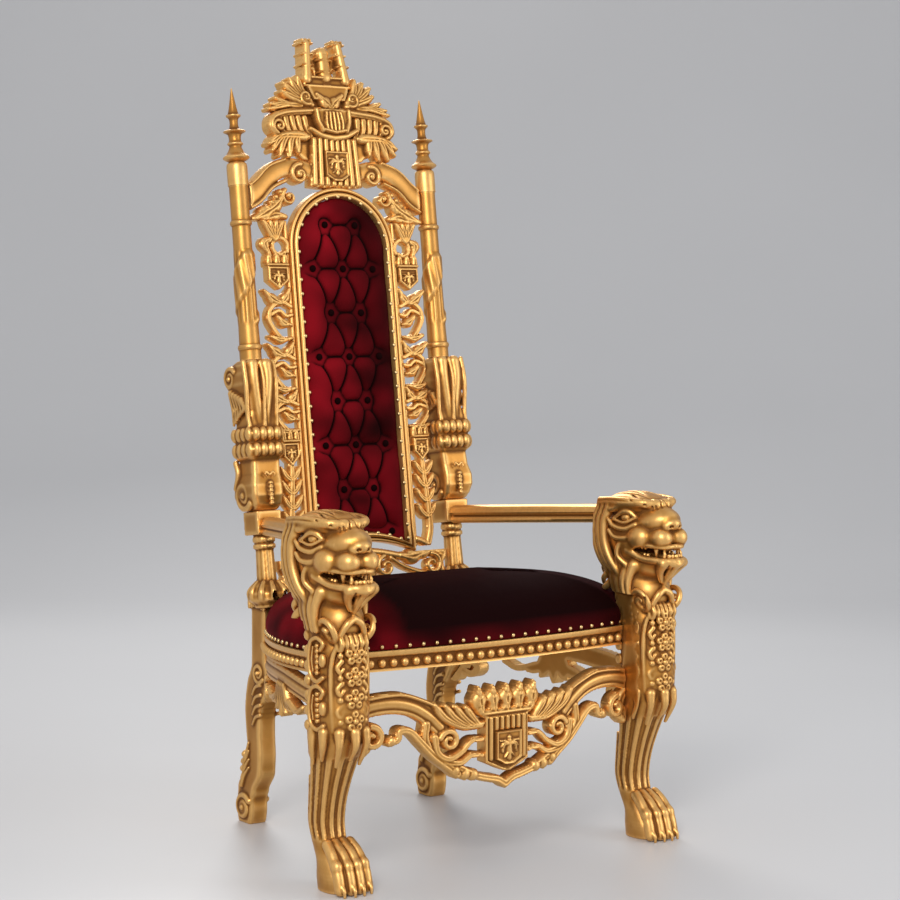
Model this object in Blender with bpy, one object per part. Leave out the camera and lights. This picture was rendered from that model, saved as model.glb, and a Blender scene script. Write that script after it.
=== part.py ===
"""Tall carved and gilded throne: lion legs, scrolled consoles, pierced back, heraldic crest.

Metres, +Z up. The sitter faces -Y. The symmetry plane is X = 0 and the floor is Z = 0.
The back is modelled upright in its own frame, then leant back by one parent empty:
there X runs across, -Y is the front face and Z climbs the raked posts.
"""
import math

import bmesh
import bpy
import numpy as np
from mathutils import Vector

# Fits
JOINT_GAP = 0.0003
CARVING_GAP = 0.0012
CUSHION_GAP = 0.0012

# Whole chair
FRONT_FEET_Y = -0.330
FRONT_LEG_X = 0.424
REAR_LEG_X = 0.262
RAIL_TOP_FRONT = 0.497
RAIL_TOP_REAR = 0.470
RAIL_HEIGHT = 0.044
RAIL_THICKNESS = 0.032

# Back, along the rake from the arm blocks
BACK_FOOT_Y = 0.255
BACK_FOOT_Z = 0.750
BACK_RAKE = math.radians(7.616)
POST_X = 0.270
POST_RADIUS = 0.0225
CONSOLE_BOTTOM = 0.006
CONSOLE_TOP = 0.363
CONSOLE_INNER_X = 0.220
COLUMN_TOP = 0.779
FINIAL_TOP = 1.014
FRAME_HALF_WIDTH = 0.149
FRAME_BAR = 0.025
FRAME_SPRING = 0.632
FRAME_BOTTOM = -0.114
FRAME_BOTTOM_RISE = 0.030
PAD_CROWN = 0.022

# Legs
HEAD_BACK_Y = -0.215
LEG_INNER_X = 0.370
LEG_REAR_Y = -0.273
APRON_SEAT_BOTTOM = 0.240
SEAT_SEAT_TOP = 0.572
REAR_LEG_THICKNESS = 0.048

# Arms
ARM_WIDTH = 0.050
ARM_TOP_REAR = 0.745
ARM_TOP_FRONT = 0.772
ARM_HEIGHT = 0.044
ARM_BLOCK_HALF = 0.033
ARM_BLOCK_HEIGHT = 0.050

# Seat
FRONT_RAIL_BOW = 0.030
SIDE_RAIL_BOW = 0.036
SIDE_RAIL_FRONT_X = 0.432
SIDE_RAIL_REAR_X = 0.286
CUSHION_CROWN = 0.130
PEARLS = 27
PEARL_DEPTH = 0.007
PEARL_RADIUS = 0.012
SEAM_WIDTH = 0.00002

# Aprons and carved boards
APRON_THICKNESS = 0.022
FRET_THICKNESS = 0.016
CREST_THICKNESS = 0.022
CREST_LEAN = 0.0197
CREST_FOOT = FRAME_SPRING + 0.066
FRET_FOOT = -0.104
SIDE_PEARLS = 19

# Triangles left in each carving
CREST_FACES = 1100
FRONT_APRON_FACES = 920
SIDE_APRON_FACES = 320
FRET_FACES = 440
LOWER_FRET_FACES = 290
LION_FACES = 1040

GOLD = (0.55, 0.36, 0.10)
VELVET = (0.22, 0.008, 0.015)


def material(name, colour, roughness, metallic):
    """A plain Principled finish."""
    finish = bpy.data.materials.new(name)
    finish.use_nodes = True
    shader = finish.node_tree.nodes["Principled BSDF"]
    shader.inputs["Base Color"].default_value = (*colour, 1.0)
    shader.inputs["Roughness"].default_value = roughness
    shader.inputs["Metallic"].default_value = metallic
    return finish


def gold(name):
    return material(name + " gilding", GOLD, 0.38, 0.85)


def velvet(name):
    return material(name + " velvet", VELVET, 0.85, 0.0)


def empty(name, location, parent=None, rake=0.0):
    """A frame that pieces are placed in."""
    holder = bpy.data.objects.new(name, None)
    holder.location = location
    holder.rotation_euler = (-rake, 0.0, 0.0)
    holder.parent = parent
    bpy.context.collection.objects.link(holder)
    return holder


def add(name, mesh, finish, parent=None):
    """Link one piece with its finish."""
    piece = bpy.data.objects.new(name, mesh)
    piece.parent = parent
    mesh.materials.append(finish)
    bpy.context.collection.objects.link(piece)
    return piece


def mesh_from(work, name, smooth=40.0):
    """Turn a bmesh into a mesh with outward faces."""
    bmesh.ops.recalc_face_normals(work, faces=work.faces)
    if work.calc_volume(signed=True) < 0.0:
        bmesh.ops.reverse_faces(work, faces=work.faces)
    mesh = bpy.data.meshes.new(name)
    work.to_mesh(mesh)
    work.free()
    mesh.shade_smooth()
    mesh.set_sharp_from_angle(angle=math.radians(smooth))
    return mesh


def loft(work, rings):
    """Bridge closed rings of points and cap both ends."""
    loops = [[work.verts.new(point) for point in ring] for ring in rings]
    for low, high in zip(loops, loops[1:]):
        for i, start in enumerate(low):
            j = (i + 1) % len(low)
            work.faces.new((start, low[j], high[j], high[i]))
    work.faces.new(loops[0][::-1])
    work.faces.new(loops[-1])
    return work


def lofted(name, rings, smooth=40.0):
    return mesh_from(loft(bmesh.new(), rings), name, smooth)


def circle(radius, centre, height, sides, turn=0.0):
    """A level ring of points."""
    angles = [turn + i * math.tau / sides for i in range(sides)]
    return [(centre[0] + radius * math.cos(a), centre[1] + radius * math.sin(a), height) for a in angles]


def soft_box(x0, x1, y0, y1, height, corner):
    """A level rectangle with cut corners."""
    flat = (
        (x0 + corner, y0), (x1 - corner, y0), (x1, y0 + corner), (x1, y1 - corner),
        (x1 - corner, y1), (x0 + corner, y1), (x0, y1 - corner), (x0, y0 + corner),
    )
    return [(x, y, height) for x, y in flat]


def smooth_value(keys, at):
    """Read a dimension between named levels."""
    places, values = zip(*keys)
    return float(np.interp(at, places, values))


def through(points, steps=6):
    """A smooth path through a few points (Catmull-Rom)."""
    knots = np.array(points, float)
    knots = np.vstack([2 * knots[0] - knots[1], knots, 2 * knots[-1] - knots[-2]])
    path = []
    for a, b, c, d in zip(knots, knots[1:], knots[2:], knots[3:]):
        for t in np.linspace(0.0, 1.0, steps, endpoint=False):
            square = (2 * a - 5 * b + 4 * c - d) * t**2
            cube = (3 * b - a - 3 * c + d) * t**3
            path.append(0.5 * (2 * b + (c - a) * t + square + cube))
    path.append(knots[-2])
    return np.array(path)


def spiral(centre, radius, start, turns, inner=0.25, steps=18):
    """A volute from its outer end inwards; angles in degrees, turns positive anticlockwise."""
    share = np.linspace(0.0, 1.0, steps)
    angle = math.radians(start) + share * turns * math.tau
    reach = radius * (1.0 - (1.0 - inner) * share)
    return np.stack([centre[0] + reach * np.cos(angle), centre[1] + reach * np.sin(angle)], axis=1)


def fitted(values, fit):
    """Throne coordinates read on a drawing whose two ends lie elsewhere."""
    if fit is None:
        return values
    (drawn_low, drawn_high), (low, high) = fit
    return drawn_low + (values - low) * (drawn_high - drawn_low) / (high - low)


class Carving:
    """A pierced board: how far each point lies inside the wood, and how high it is carved."""

    def __init__(self, low, high, step, mirrored, fit_u=None, fit_v=None):
        """A fit stretches the drawing: its ends as drawn, then where those ends lie on the throne."""
        self.step = step
        self.mirrored = mirrored
        across = np.arange(low[0], high[0] + step, step)
        along = np.arange(low[1], high[1] + step, step)
        if mirrored:
            across = (np.arange(2 * math.ceil(high[0] / step) + 1) - math.ceil(high[0] / step)) * step
        self.grid_u, self.grid_v = np.meshgrid(across, along, indexing="ij")
        self.u = fitted(np.abs(self.grid_u) if mirrored else self.grid_u, fit_u)
        self.v = fitted(self.grid_v, fit_v)
        self.inside = np.full(self.u.shape, -1.0)
        self.height = np.zeros(self.u.shape)

    def raise_to(self, inside, height):
        """Add one shape, keeping the highest carving."""
        self.inside = np.maximum(self.inside, inside)
        self.height = np.where(inside > 0.0, np.maximum(self.height, height), self.height)

    def path_distance(self, path, radii):
        """Depth inside a tapered path, and the share of the half-width at each point."""
        best = np.full(self.u.shape, -1.0)
        share = np.ones(self.u.shape)
        for start, end, r0, r1 in zip(path, path[1:], radii, radii[1:]):
            run = end - start
            length = max(float(run @ run), 1e-12)
            t = np.clip(((self.u - start[0]) * run[0] + (self.v - start[1]) * run[1]) / length, 0.0, 1.0)
            distance = np.hypot(self.u - start[0] - t * run[0], self.v - start[1] - t * run[1])
            radius = r0 + (r1 - r0) * t
            depth = radius - distance
            nearer = depth > best
            share = np.where(nearer, distance / radius, share)
            best = np.maximum(best, depth)
        return best, np.clip(share, 0.0, 1.0)

    def stroke(self, points, start, end, rise, level=0.0):
        """A rounded band along a path, start and end half-widths given."""
        path = points if isinstance(points, np.ndarray) else through(points)
        inside, share = self.path_distance(path, np.linspace(start, end, len(path)))
        self.raise_to(inside, level + rise * np.sqrt(1.0 - share**2))

    def leaf(self, points, width, rise, level=0.0, lobes=3):
        """An acanthus leaf: swelling, lobed and pointed."""
        path = through(points)
        share = np.linspace(0.0, 1.0, len(path))
        swell = np.sin(math.pi * np.clip(share, 0.04, 0.96) ** 0.8) ** 0.6
        radii = width * swell * (1.0 + 0.22 * np.cos(math.tau * lobes * share)) + 0.0018
        inside, across = self.path_distance(path, radii)
        self.raise_to(inside, level + rise * np.sqrt(1.0 - across**2))

    def disc(self, centre, radius, rise, level=0.0):
        """A bead or the eye of a volute."""
        share = np.hypot(self.u - centre[0], self.v - centre[1]) / radius
        self.raise_to(radius * (1.0 - share), level + rise * np.sqrt(np.clip(1.0 - share**2, 0.0, 1.0)))

    def panel(self, corners, rise):
        """A flat convex field; corners run anticlockwise."""
        inside = np.full(self.u.shape, 1.0)
        for (u0, v0), (u1, v1) in zip(corners, corners[1:] + corners[:1]):
            length = math.hypot(u1 - u0, v1 - v0)
            inside = np.minimum(inside, ((u1 - u0) * (self.v - v0) - (v1 - v0) * (self.u - u0)) / length)
        self.raise_to(inside, rise)

    def pierce(self, centre, half_u, half_v):
        """Cut an oval hole through the board."""
        share = np.hypot((self.u - centre[0]) / half_u, (self.v - centre[1]) / half_v)
        self.inside = np.minimum(self.inside, (share - 1.0) * min(half_u, half_v))

    def keep(self, inside):
        """Trim the board to a line."""
        self.inside = np.minimum(self.inside, inside)


def board(name, carving, thickness, place, faces):
    """Walk the grid cells, build front, back and edges, and thin the faces to a budget."""
    inside = carving.inside
    node_count = inside.size
    rows, columns = inside.shape
    points = {}
    work = bmesh.new()

    def node(i, j):
        return i * columns + j

    def vertex(key, i, j, other):
        if key not in points:
            a = inside[i, j]
            u, v, h = carving.grid_u[i, j], carving.grid_v[i, j], carving.height[i, j]
            if other:
                k, m = other
                t = min(max(a / (a - inside[k, m]), 0.12), 0.88)
                u += t * (carving.grid_u[k, m] - u)
                v += t * (carving.grid_v[k, m] - v)
            points[key] = (work.verts.new(place(u, v, thickness + h)), work.verts.new(place(u, v, 0.0)))
        return points[key]

    rims = {}
    for i in range(rows - 1):
        for j in range(columns - 1):
            corners = ((i, j), (i + 1, j), (i + 1, j + 1), (i, j + 1))
            if not any(inside[c] > 0.0 for c in corners):
                continue
            loop = []
            for here, after in zip(corners, corners[1:] + corners[:1]):
                if inside[here] > 0.0:
                    loop.append(vertex(node(*here), *here, None))
                if (inside[here] > 0.0) != (inside[after] > 0.0):
                    solid, bare = (here, after) if inside[here] > 0.0 else (after, here)
                    key = node_count + node(*solid) * node_count + node(*bare)
                    loop.append(vertex(key, *solid, bare))
            work.faces.new([pair[0] for pair in loop])
            work.faces.new([pair[1] for pair in reversed(loop)])
            for here, after in zip(loop, loop[1:] + loop[:1]):
                if (id(after), id(here)) in rims:
                    del rims[(id(after), id(here))]
                else:
                    rims[(id(here), id(after))] = (here, after)
    for here, after in rims.values():
        work.faces.new((after[0], here[0], here[1], after[1]))
    mesh = mesh_from(work, name)
    return thinned(mesh, faces, carving.mirrored)


def baked(mesh, steps):
    """Run modifiers on a mesh and return the result as a new mesh."""
    carrier = bpy.data.objects.new("work", mesh)
    bpy.context.collection.objects.link(carrier)
    for kind, settings in steps:
        modifier = carrier.modifiers.new(kind, kind)
        for key, value in settings.items():
            setattr(modifier, key, value)
    graph = bpy.context.evaluated_depsgraph_get()
    result = bpy.data.meshes.new_from_object(carrier.evaluated_get(graph))
    result.name = mesh.name + " baked"
    bpy.data.objects.remove(carrier)
    return result


def triangle_count(mesh):
    return sum(len(polygon.vertices) - 2 for polygon in mesh.polygons)


def thinned(mesh, faces, mirrored=False):
    """Collapse to about the asked number of triangles, evenly on both sides of a mirrored mesh."""
    steps = [("TRIANGULATE", {})]
    if mirrored:
        mesh = right_half(mesh)
        steps.append(("MIRROR", {"merge_threshold": SEAM_WIDTH}))
    whole = baked(mesh, steps)
    settings = {"ratio": min(1.0, faces / triangle_count(whole)), "use_symmetry": mirrored}
    return baked(whole, [("DECIMATE", settings)])


def right_half(mesh):
    """Saw a mesh at the symmetry plane and leave the cut open."""
    work = bmesh.new()
    work.from_mesh(mesh)
    everything = work.verts[:] + work.edges[:] + work.faces[:]
    bmesh.ops.bisect_plane(work, geom=everything, dist=SEAM_WIDTH, plane_co=(0, 0, 0), plane_no=(-1, 0, 0),
                           clear_outer=True)
    half = bpy.data.meshes.new(mesh.name)
    work.to_mesh(half)
    work.free()
    return half


def handed(mesh, side):
    """The same piece for one side of the throne."""
    work = bmesh.new()
    work.from_mesh(mesh)
    for vertex in work.verts:
        vertex.co.x *= side
    return mesh_from(work, mesh.name)


def trimmed(mesh, cuts):
    """Saw a mesh flat: each cut is a point and the normal of the side that goes."""
    work = bmesh.new()
    work.from_mesh(mesh)
    for point, normal in cuts:
        everything = work.verts[:] + work.edges[:] + work.faces[:]
        bmesh.ops.bisect_plane(work, geom=everything, plane_co=point, plane_no=normal, clear_outer=True)
        bmesh.ops.holes_fill(work, edges=[edge for edge in work.edges if edge.is_boundary], sides=0)
    return mesh_from(work, mesh.name)


def chair_point(x, forward, up):
    """A point of the leaning back's frame in the chair's own frame."""
    return Vector((
        x,
        BACK_FOOT_Y + up * math.sin(BACK_RAKE) - forward * math.cos(BACK_RAKE),
        BACK_FOOT_Z + up * math.cos(BACK_RAKE) + forward * math.sin(BACK_RAKE),
    ))


def front_rail_y(x):
    """Face of the bowed front rail."""
    return FRONT_FEET_Y + 0.025 - FRONT_RAIL_BOW * (1.0 - (x / LEG_INNER_X) ** 2)


def rail_top(y):
    """The seat rails fall a little towards the back."""
    share = (y - LEG_REAR_Y) / (BACK_FOOT_Y - 0.035 - LEG_REAR_Y)
    return RAIL_TOP_FRONT + (RAIL_TOP_REAR - RAIL_TOP_FRONT) * min(max(share, 0.0), 1.0)


# Rear leg side profile: height, front and back, measured from the back's foot point
REAR_LEG_PROFILE = (
    (0.000, 0.041, 0.095), (0.012, 0.036, 0.100), (0.036, 0.032, 0.103), (0.060, 0.032, 0.101),
    (0.075, 0.025, 0.098), (0.092, 0.018, 0.096), (0.120, -0.004, 0.078), (0.145, -0.008, 0.072),
    (0.175, -0.010, 0.052), (0.230, -0.007, 0.058), (0.285, -0.013, 0.062), (0.345, -0.052, 0.050),
    (0.380, -0.044, 0.032), (0.412, -0.034, 0.029), (0.530, -0.034, 0.028),
)


def rear_leg_front(height):
    return BACK_FOOT_Y + smooth_value([(z, front) for z, front, back in REAR_LEG_PROFILE], height)


def rear_leg(name, side, parent):
    """Sawn cabriole with a scroll foot, leaf collar, turned column and arm block."""
    half = REAR_LEG_THICKNESS / 2
    x = side * REAR_LEG_X
    rings = []
    for height, front, back in REAR_LEG_PROFILE:
        rings.append(soft_box(x - half, x + half, BACK_FOOT_Y + front, BACK_FOOT_Y + back, height, 0.006))
    turned = (
        (-0.214, 0.040), (-0.205, 0.050), (-0.188, 0.048), (-0.170, 0.036), (-0.160, 0.024), (-0.085, 0.0215),
        (-0.082, 0.027), (-0.074, 0.027), (-0.071, 0.022), (-0.066, 0.027), (-0.058, 0.027), (-0.053, 0.024),
    )
    corner_turn = math.radians(-112.5)
    for up, radius in turned:
        share = min(max((up + 0.214) / 0.05, 0.0), 1.0)
        centre_x = x + share * (side * POST_X - x)
        ring = circle(radius, (centre_x, 0.0), 0.0, 8, corner_turn)
        rings.append([chair_point(px, -py, up) for px, py, pz in ring])
    for up in (-ARM_BLOCK_HEIGHT, CONSOLE_BOTTOM - JOINT_GAP):
        ring = soft_box(side * POST_X - ARM_BLOCK_HALF, side * POST_X + ARM_BLOCK_HALF,
                        -ARM_BLOCK_HALF, ARM_BLOCK_HALF, 0.0, 0.005)
        rings.append([chair_point(px, -py, up) for px, py, pz in ring])
    return add(name, lofted(name, rings, 30.0), gold(name), parent)


def console(name, side, parent):
    """Scrolled bracket: height, inner and outer face across, back and front face."""
    levels = (
        (0.000, 0.238, 0.300, -0.036, 0.030), (0.014, 0.232, 0.312, -0.050, 0.044),
        (0.036, 0.230, 0.318, -0.056, 0.052), (0.060, 0.231, 0.318, -0.050, 0.052),
        (0.085, 0.231, 0.312, -0.036, 0.046), (0.118, 0.229, 0.310, -0.032, 0.044),
        (0.126, 0.224, 0.318, -0.034, 0.050), (0.143, 0.220, 0.322, -0.036, 0.058),
        (0.160, 0.224, 0.316, -0.034, 0.048), (0.180, 0.222, 0.320, -0.036, 0.057),
        (0.198, 0.228, 0.312, -0.034, 0.046), (0.235, 0.232, 0.306, -0.034, 0.042),
        (0.270, 0.231, 0.310, -0.046, 0.046), (0.300, 0.230, 0.316, -0.062, 0.048),
        (0.325, 0.232, 0.314, -0.062, 0.046), (0.345, 0.236, 0.308, -0.048, 0.038),
        (CONSOLE_TOP - CONSOLE_BOTTOM, 0.244, 0.298, -0.030, 0.028),
    )
    rings = []
    for rise, inner, outer, back, front in levels:
        low, high = sorted((side * inner, side * outer))
        rings.append(soft_box(low, high, -front, -back, CONSOLE_BOTTOM + rise, 0.010))
    return add(name, lofted(name, rings, 30.0), gold(name), parent)


def column(name, side, parent):
    """Turned post with a ribbon that winds up its middle."""
    low = CONSOLE_TOP + JOINT_GAP
    high = COLUMN_TOP
    profile = (
        (low, 0.026), (low + 0.023, 0.026), (low + 0.030, 0.029), (low + 0.037, 0.025),
        (0.442, 0.024), (0.475, 0.024), (0.500, 0.024), (0.530, 0.027), (0.560, 0.024), (0.595, 0.023),
        (0.629, 0.0225), (0.683, 0.0225), (0.690, 0.0265), (0.697, 0.0225), (high, 0.0225),
    )
    ribbon_low, ribbon_high = 0.446, 0.627
    rings = []
    for up, radius in profile:
        wound = ribbon_low < up < ribbon_high
        ring = []
        for px, py, pz in circle(radius, (0.0, 0.0), up, 10):
            angle = math.atan2(py, px)
            swell = 1.0 + (0.16 * max(0.0, math.cos(angle - 34.0 * (up - ribbon_low))) if wound else 0.0)
            ring.append((side * (POST_X + px * swell), py * swell, up))
        rings.append(ring)
    return add(name, lofted(name, rings, 30.0), gold(name), parent)


def finial(name, side, parent):
    """Ringed spike on top of the column."""
    low = COLUMN_TOP + JOINT_GAP
    profile = (
        (low, 0.0245), (0.828, 0.0245), (0.836, 0.018), (0.846, 0.032), (0.857, 0.022), (0.873, 0.0145),
        (0.880, 0.0190), (0.888, 0.0145), (0.903, 0.0165), (0.910, 0.027), (0.917, 0.0125), (0.938, 0.0105),
        (0.948, 0.018), (0.957, 0.0115), (FINIAL_TOP, 0.0012),
    )
    rings = [circle(radius, (side * POST_X, 0.0), up, 8) for up, radius in profile]
    return add(name, lofted(name, rings, 30.0), gold(name), parent)


def frame_outline(inset, lower_shift=0.0):
    """The arched outline, inset from the frame's outer edge; anticlockwise from the lower left."""
    half = FRAME_HALF_WIDTH - inset
    bottom = FRAME_BOTTOM + inset * 0.95
    outline = []
    for share in np.linspace(-1.0, 1.0, 9):
        outline.append((half * share, bottom + FRAME_BOTTOM_RISE * (1.0 - share**2) + lower_shift))
    for up in np.linspace(0.15, 1.0, 4):
        outline.append((half, bottom + (FRAME_SPRING - bottom) * up))
    for angle in np.linspace(0.0, math.pi, 17)[1:-1]:
        outline.append((half * math.cos(angle), FRAME_SPRING + half * math.sin(angle)))
    for up in np.linspace(1.0, 0.15, 4):
        outline.append((-half, bottom + (FRAME_SPRING - bottom) * up))
    return outline


def back_frame(name, parent):
    """Moulded arch frame swept round the pad."""
    section = ((0.0, -0.012), (0.0, 0.010), (0.007, 0.020), (0.014, 0.016), (0.020, 0.022),
               (FRAME_BAR, 0.018), (FRAME_BAR, -0.012))
    work = bmesh.new()
    loops = []
    for inset, forward in section:
        loops.append([work.verts.new((x, -forward, up)) for x, up in frame_outline(inset)])
    for inner, outer in zip(loops, loops[1:] + loops[:1]):
        for i, start in enumerate(inner):
            j = (i + 1) % len(inner)
            work.faces.new((start, inner[j], outer[j], outer[i]))
    bmesh.ops.dissolve_limit(work, angle_limit=math.radians(0.5), verts=work.verts, edges=work.edges)
    return add(name, mesh_from(work, name, 30.0), gold(name), parent)


def back_pad(name, parent):
    """Crowned upholstery inside the arch frame."""
    rim = FRAME_BAR + 0.001
    steps = ((rim, -0.011), (rim, 0.008), (rim + 0.012, 0.008 + PAD_CROWN * 0.5),
             (rim + 0.045, 0.008 + PAD_CROWN))
    rings = [[(x, -forward, up) for x, up in frame_outline(inset)] for inset, forward in steps]
    return add(name, lofted(name, rings, 60.0), velvet(name), parent)


def arch_clearance(carving, gap):
    """How far a point lies outside the arch frame."""
    radial = np.hypot(carving.grid_u, np.maximum(carving.grid_v - FRAME_SPRING, 0.0))
    return radial - FRAME_HALF_WIDTH - gap


def crest(name, parent):
    """Shoulders, striped shield, helmet, mantling, plumes and castle, carved from one board."""
    drawn_spring = 0.632
    rise = FRAME_SPRING - drawn_spring
    work = Carving((-0.256, 0.690 + rise), (0.256, 1.160 + rise), 0.0044, True,
                   fit_v=((drawn_spring, 1.0), (FRAME_SPRING, 1.0 + rise)))
    post_side = POST_X - POST_RADIUS - 0.0040
    slope = [(0.250, 0.737), (0.215, 0.768), (0.180, 0.800), (0.145, 0.816), (0.100, 0.812), (0.066, 0.806)]
    work.stroke(slope, 0.034, 0.024, 0.004)
    work.stroke([(0.252, 0.768), (0.225, 0.786), (0.180, 0.824), (0.132, 0.842)], 0.006, 0.006, 0.009)
    work.stroke(spiral((0.100, 0.832), 0.022, 0.0, -1.2), 0.007, 0.005, 0.012, 0.004)
    work.disc((0.098, 0.830), 0.012, 0.004)
    work.leaf([(0.232, 0.700), (0.200, 0.716), (0.165, 0.730), (0.135, 0.752)], 0.020, 0.010)
    work.stroke(spiral((0.118, 0.780), 0.024, 60.0, -1.1), 0.006, 0.004, 0.010)
    for k in range(4):
        work.disc((0.140 + 0.012 * k, 0.778 - 0.008 * k), 0.0085, 0.010)
    work.leaf([(0.150, 0.700), (0.175, 0.712), (0.205, 0.702), (0.228, 0.712)], 0.014, 0.008)
    work.panel([(-0.010, 0.776), (0.074, 0.784), (0.064, 0.906), (-0.010, 0.906)], 0.010)
    for k in range(4):
        work.stroke([(0.005 + 0.018 * k, 0.786), (0.004 + 0.0165 * k, 0.900)], 0.0075, 0.0070, 0.007, 0.010)
    work.panel([(-0.01, 0.798), (0.012, 0.800), (0.031, 0.812), (0.031, 0.868), (-0.010, 0.868)], 0.020)
    work.stroke([(-0.005, 0.905), (0.035, 0.910), (0.066, 0.924)], 0.012, 0.006, 0.010, 0.008)
    work.panel([(-0.010, 0.912), (0.032, 0.920), (0.044, 0.974), (-0.010, 0.976)], 0.024)
    roll = [(0.030, 0.972), (0.080, 0.968), (0.130, 0.962), (0.165, 0.948), (0.172, 0.925), (0.158, 0.910)]
    work.stroke(roll, 0.010, 0.009, 0.014, 0.002)
    work.stroke(spiral((0.152, 0.928), 0.018, -60.0, 1.2), 0.006, 0.005, 0.012, 0.004)
    work.panel([(-0.010, 0.890), (0.140, 0.905), (0.165, 0.935), (0.150, 0.962), (-0.010, 0.975)], 0.000)
    for k in range(5):
        u = 0.066 + 0.018 * k
        work.stroke([(u + 0.010, 0.948), (u + 0.006, 0.925), (u - 0.008, 0.902)], 0.009, 0.005, 0.010)
    for tip in ((0.182, 0.884), (0.176, 0.868), (0.156, 0.856), (0.128, 0.855), (0.102, 0.866)):
        work.leaf([(0.072, 0.905), (0.55 * tip[0] + 0.045, 0.904), tip], 0.014, 0.012, lobes=1)
    work.panel([(-0.01, 0.84), (0.085, 0.85), (0.115, 0.88), (0.075, 0.92), (-0.01, 0.92)], 0.000)
    for tip in ((0.082, 1.054), (0.104, 1.047), (0.124, 1.036), (0.130, 1.015)):
        work.leaf([(0.050, 0.985), (0.5 * tip[0] + 0.034, 0.5 * tip[1] + 0.494), tip], 0.014, 0.012, lobes=1)
    for tip in ((0.150, 0.998), (0.166, 0.982), (0.172, 0.970)):
        work.leaf([(0.080, 0.982), (0.115, 0.984), tip], 0.011, 0.009, lobes=1)
    work.panel([(-0.01, 0.966), (0.112, 0.966), (0.105, 1.010), (0.066, 1.030), (-0.01, 1.030)], 0.000)
    work.stroke(spiral((0.066, 1.004), 0.019, -120.0, 1.1), 0.006, 0.004, 0.012, 0.003)
    work.panel([(-0.01, 0.998), (0.044, 0.998), (0.062, 1.036), (-0.01, 1.038)], 0.014)
    work.panel([(-0.01, 1.030), (0.066, 1.030), (0.063, 1.060), (-0.01, 1.060)], 0.008)
    work.stroke([(0.056, 1.050), (0.048, 1.105), (0.042, 1.150)], 0.0125, 0.0100, 0.012, 0.004)
    work.panel([(-0.01, 1.055), (0.050, 1.055), (0.042, 1.114), (-0.01, 1.114)], 0.000)
    work.stroke([(0.0, 1.060), (0.0, 1.122)], 0.019, 0.018, 0.010, 0.003)
    for height in (1.082, 1.110, 1.146):
        reach = 0.053 - 0.16 * (height - 1.082)
        work.stroke([(reach - 0.012, height), (reach + 0.012, height)], 0.0035, 0.0035, 0.017)
    work.pierce((0.0335, 1.070), 0.0085, 0.0095)
    work.keep(arch_clearance(work, CARVING_GAP))

    def place(u, v, depth):
        lean = CREST_LEAN * max(0.0, (v - rise - 0.93) / 0.17)
        return (u, 0.020 + lean - depth, v)

    carved = board(name, work, CREST_THICKNESS, place, CREST_FACES)
    cuts = (((post_side, 0, 0), (1, 0, 0)), ((-post_side, 0, 0), (-1, 0, 0)),
            ((0, 0, CREST_FOOT + JOINT_GAP), (0, 0, -1)))
    return add(name, trimmed(carved, cuts), gold(name), parent)


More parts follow.
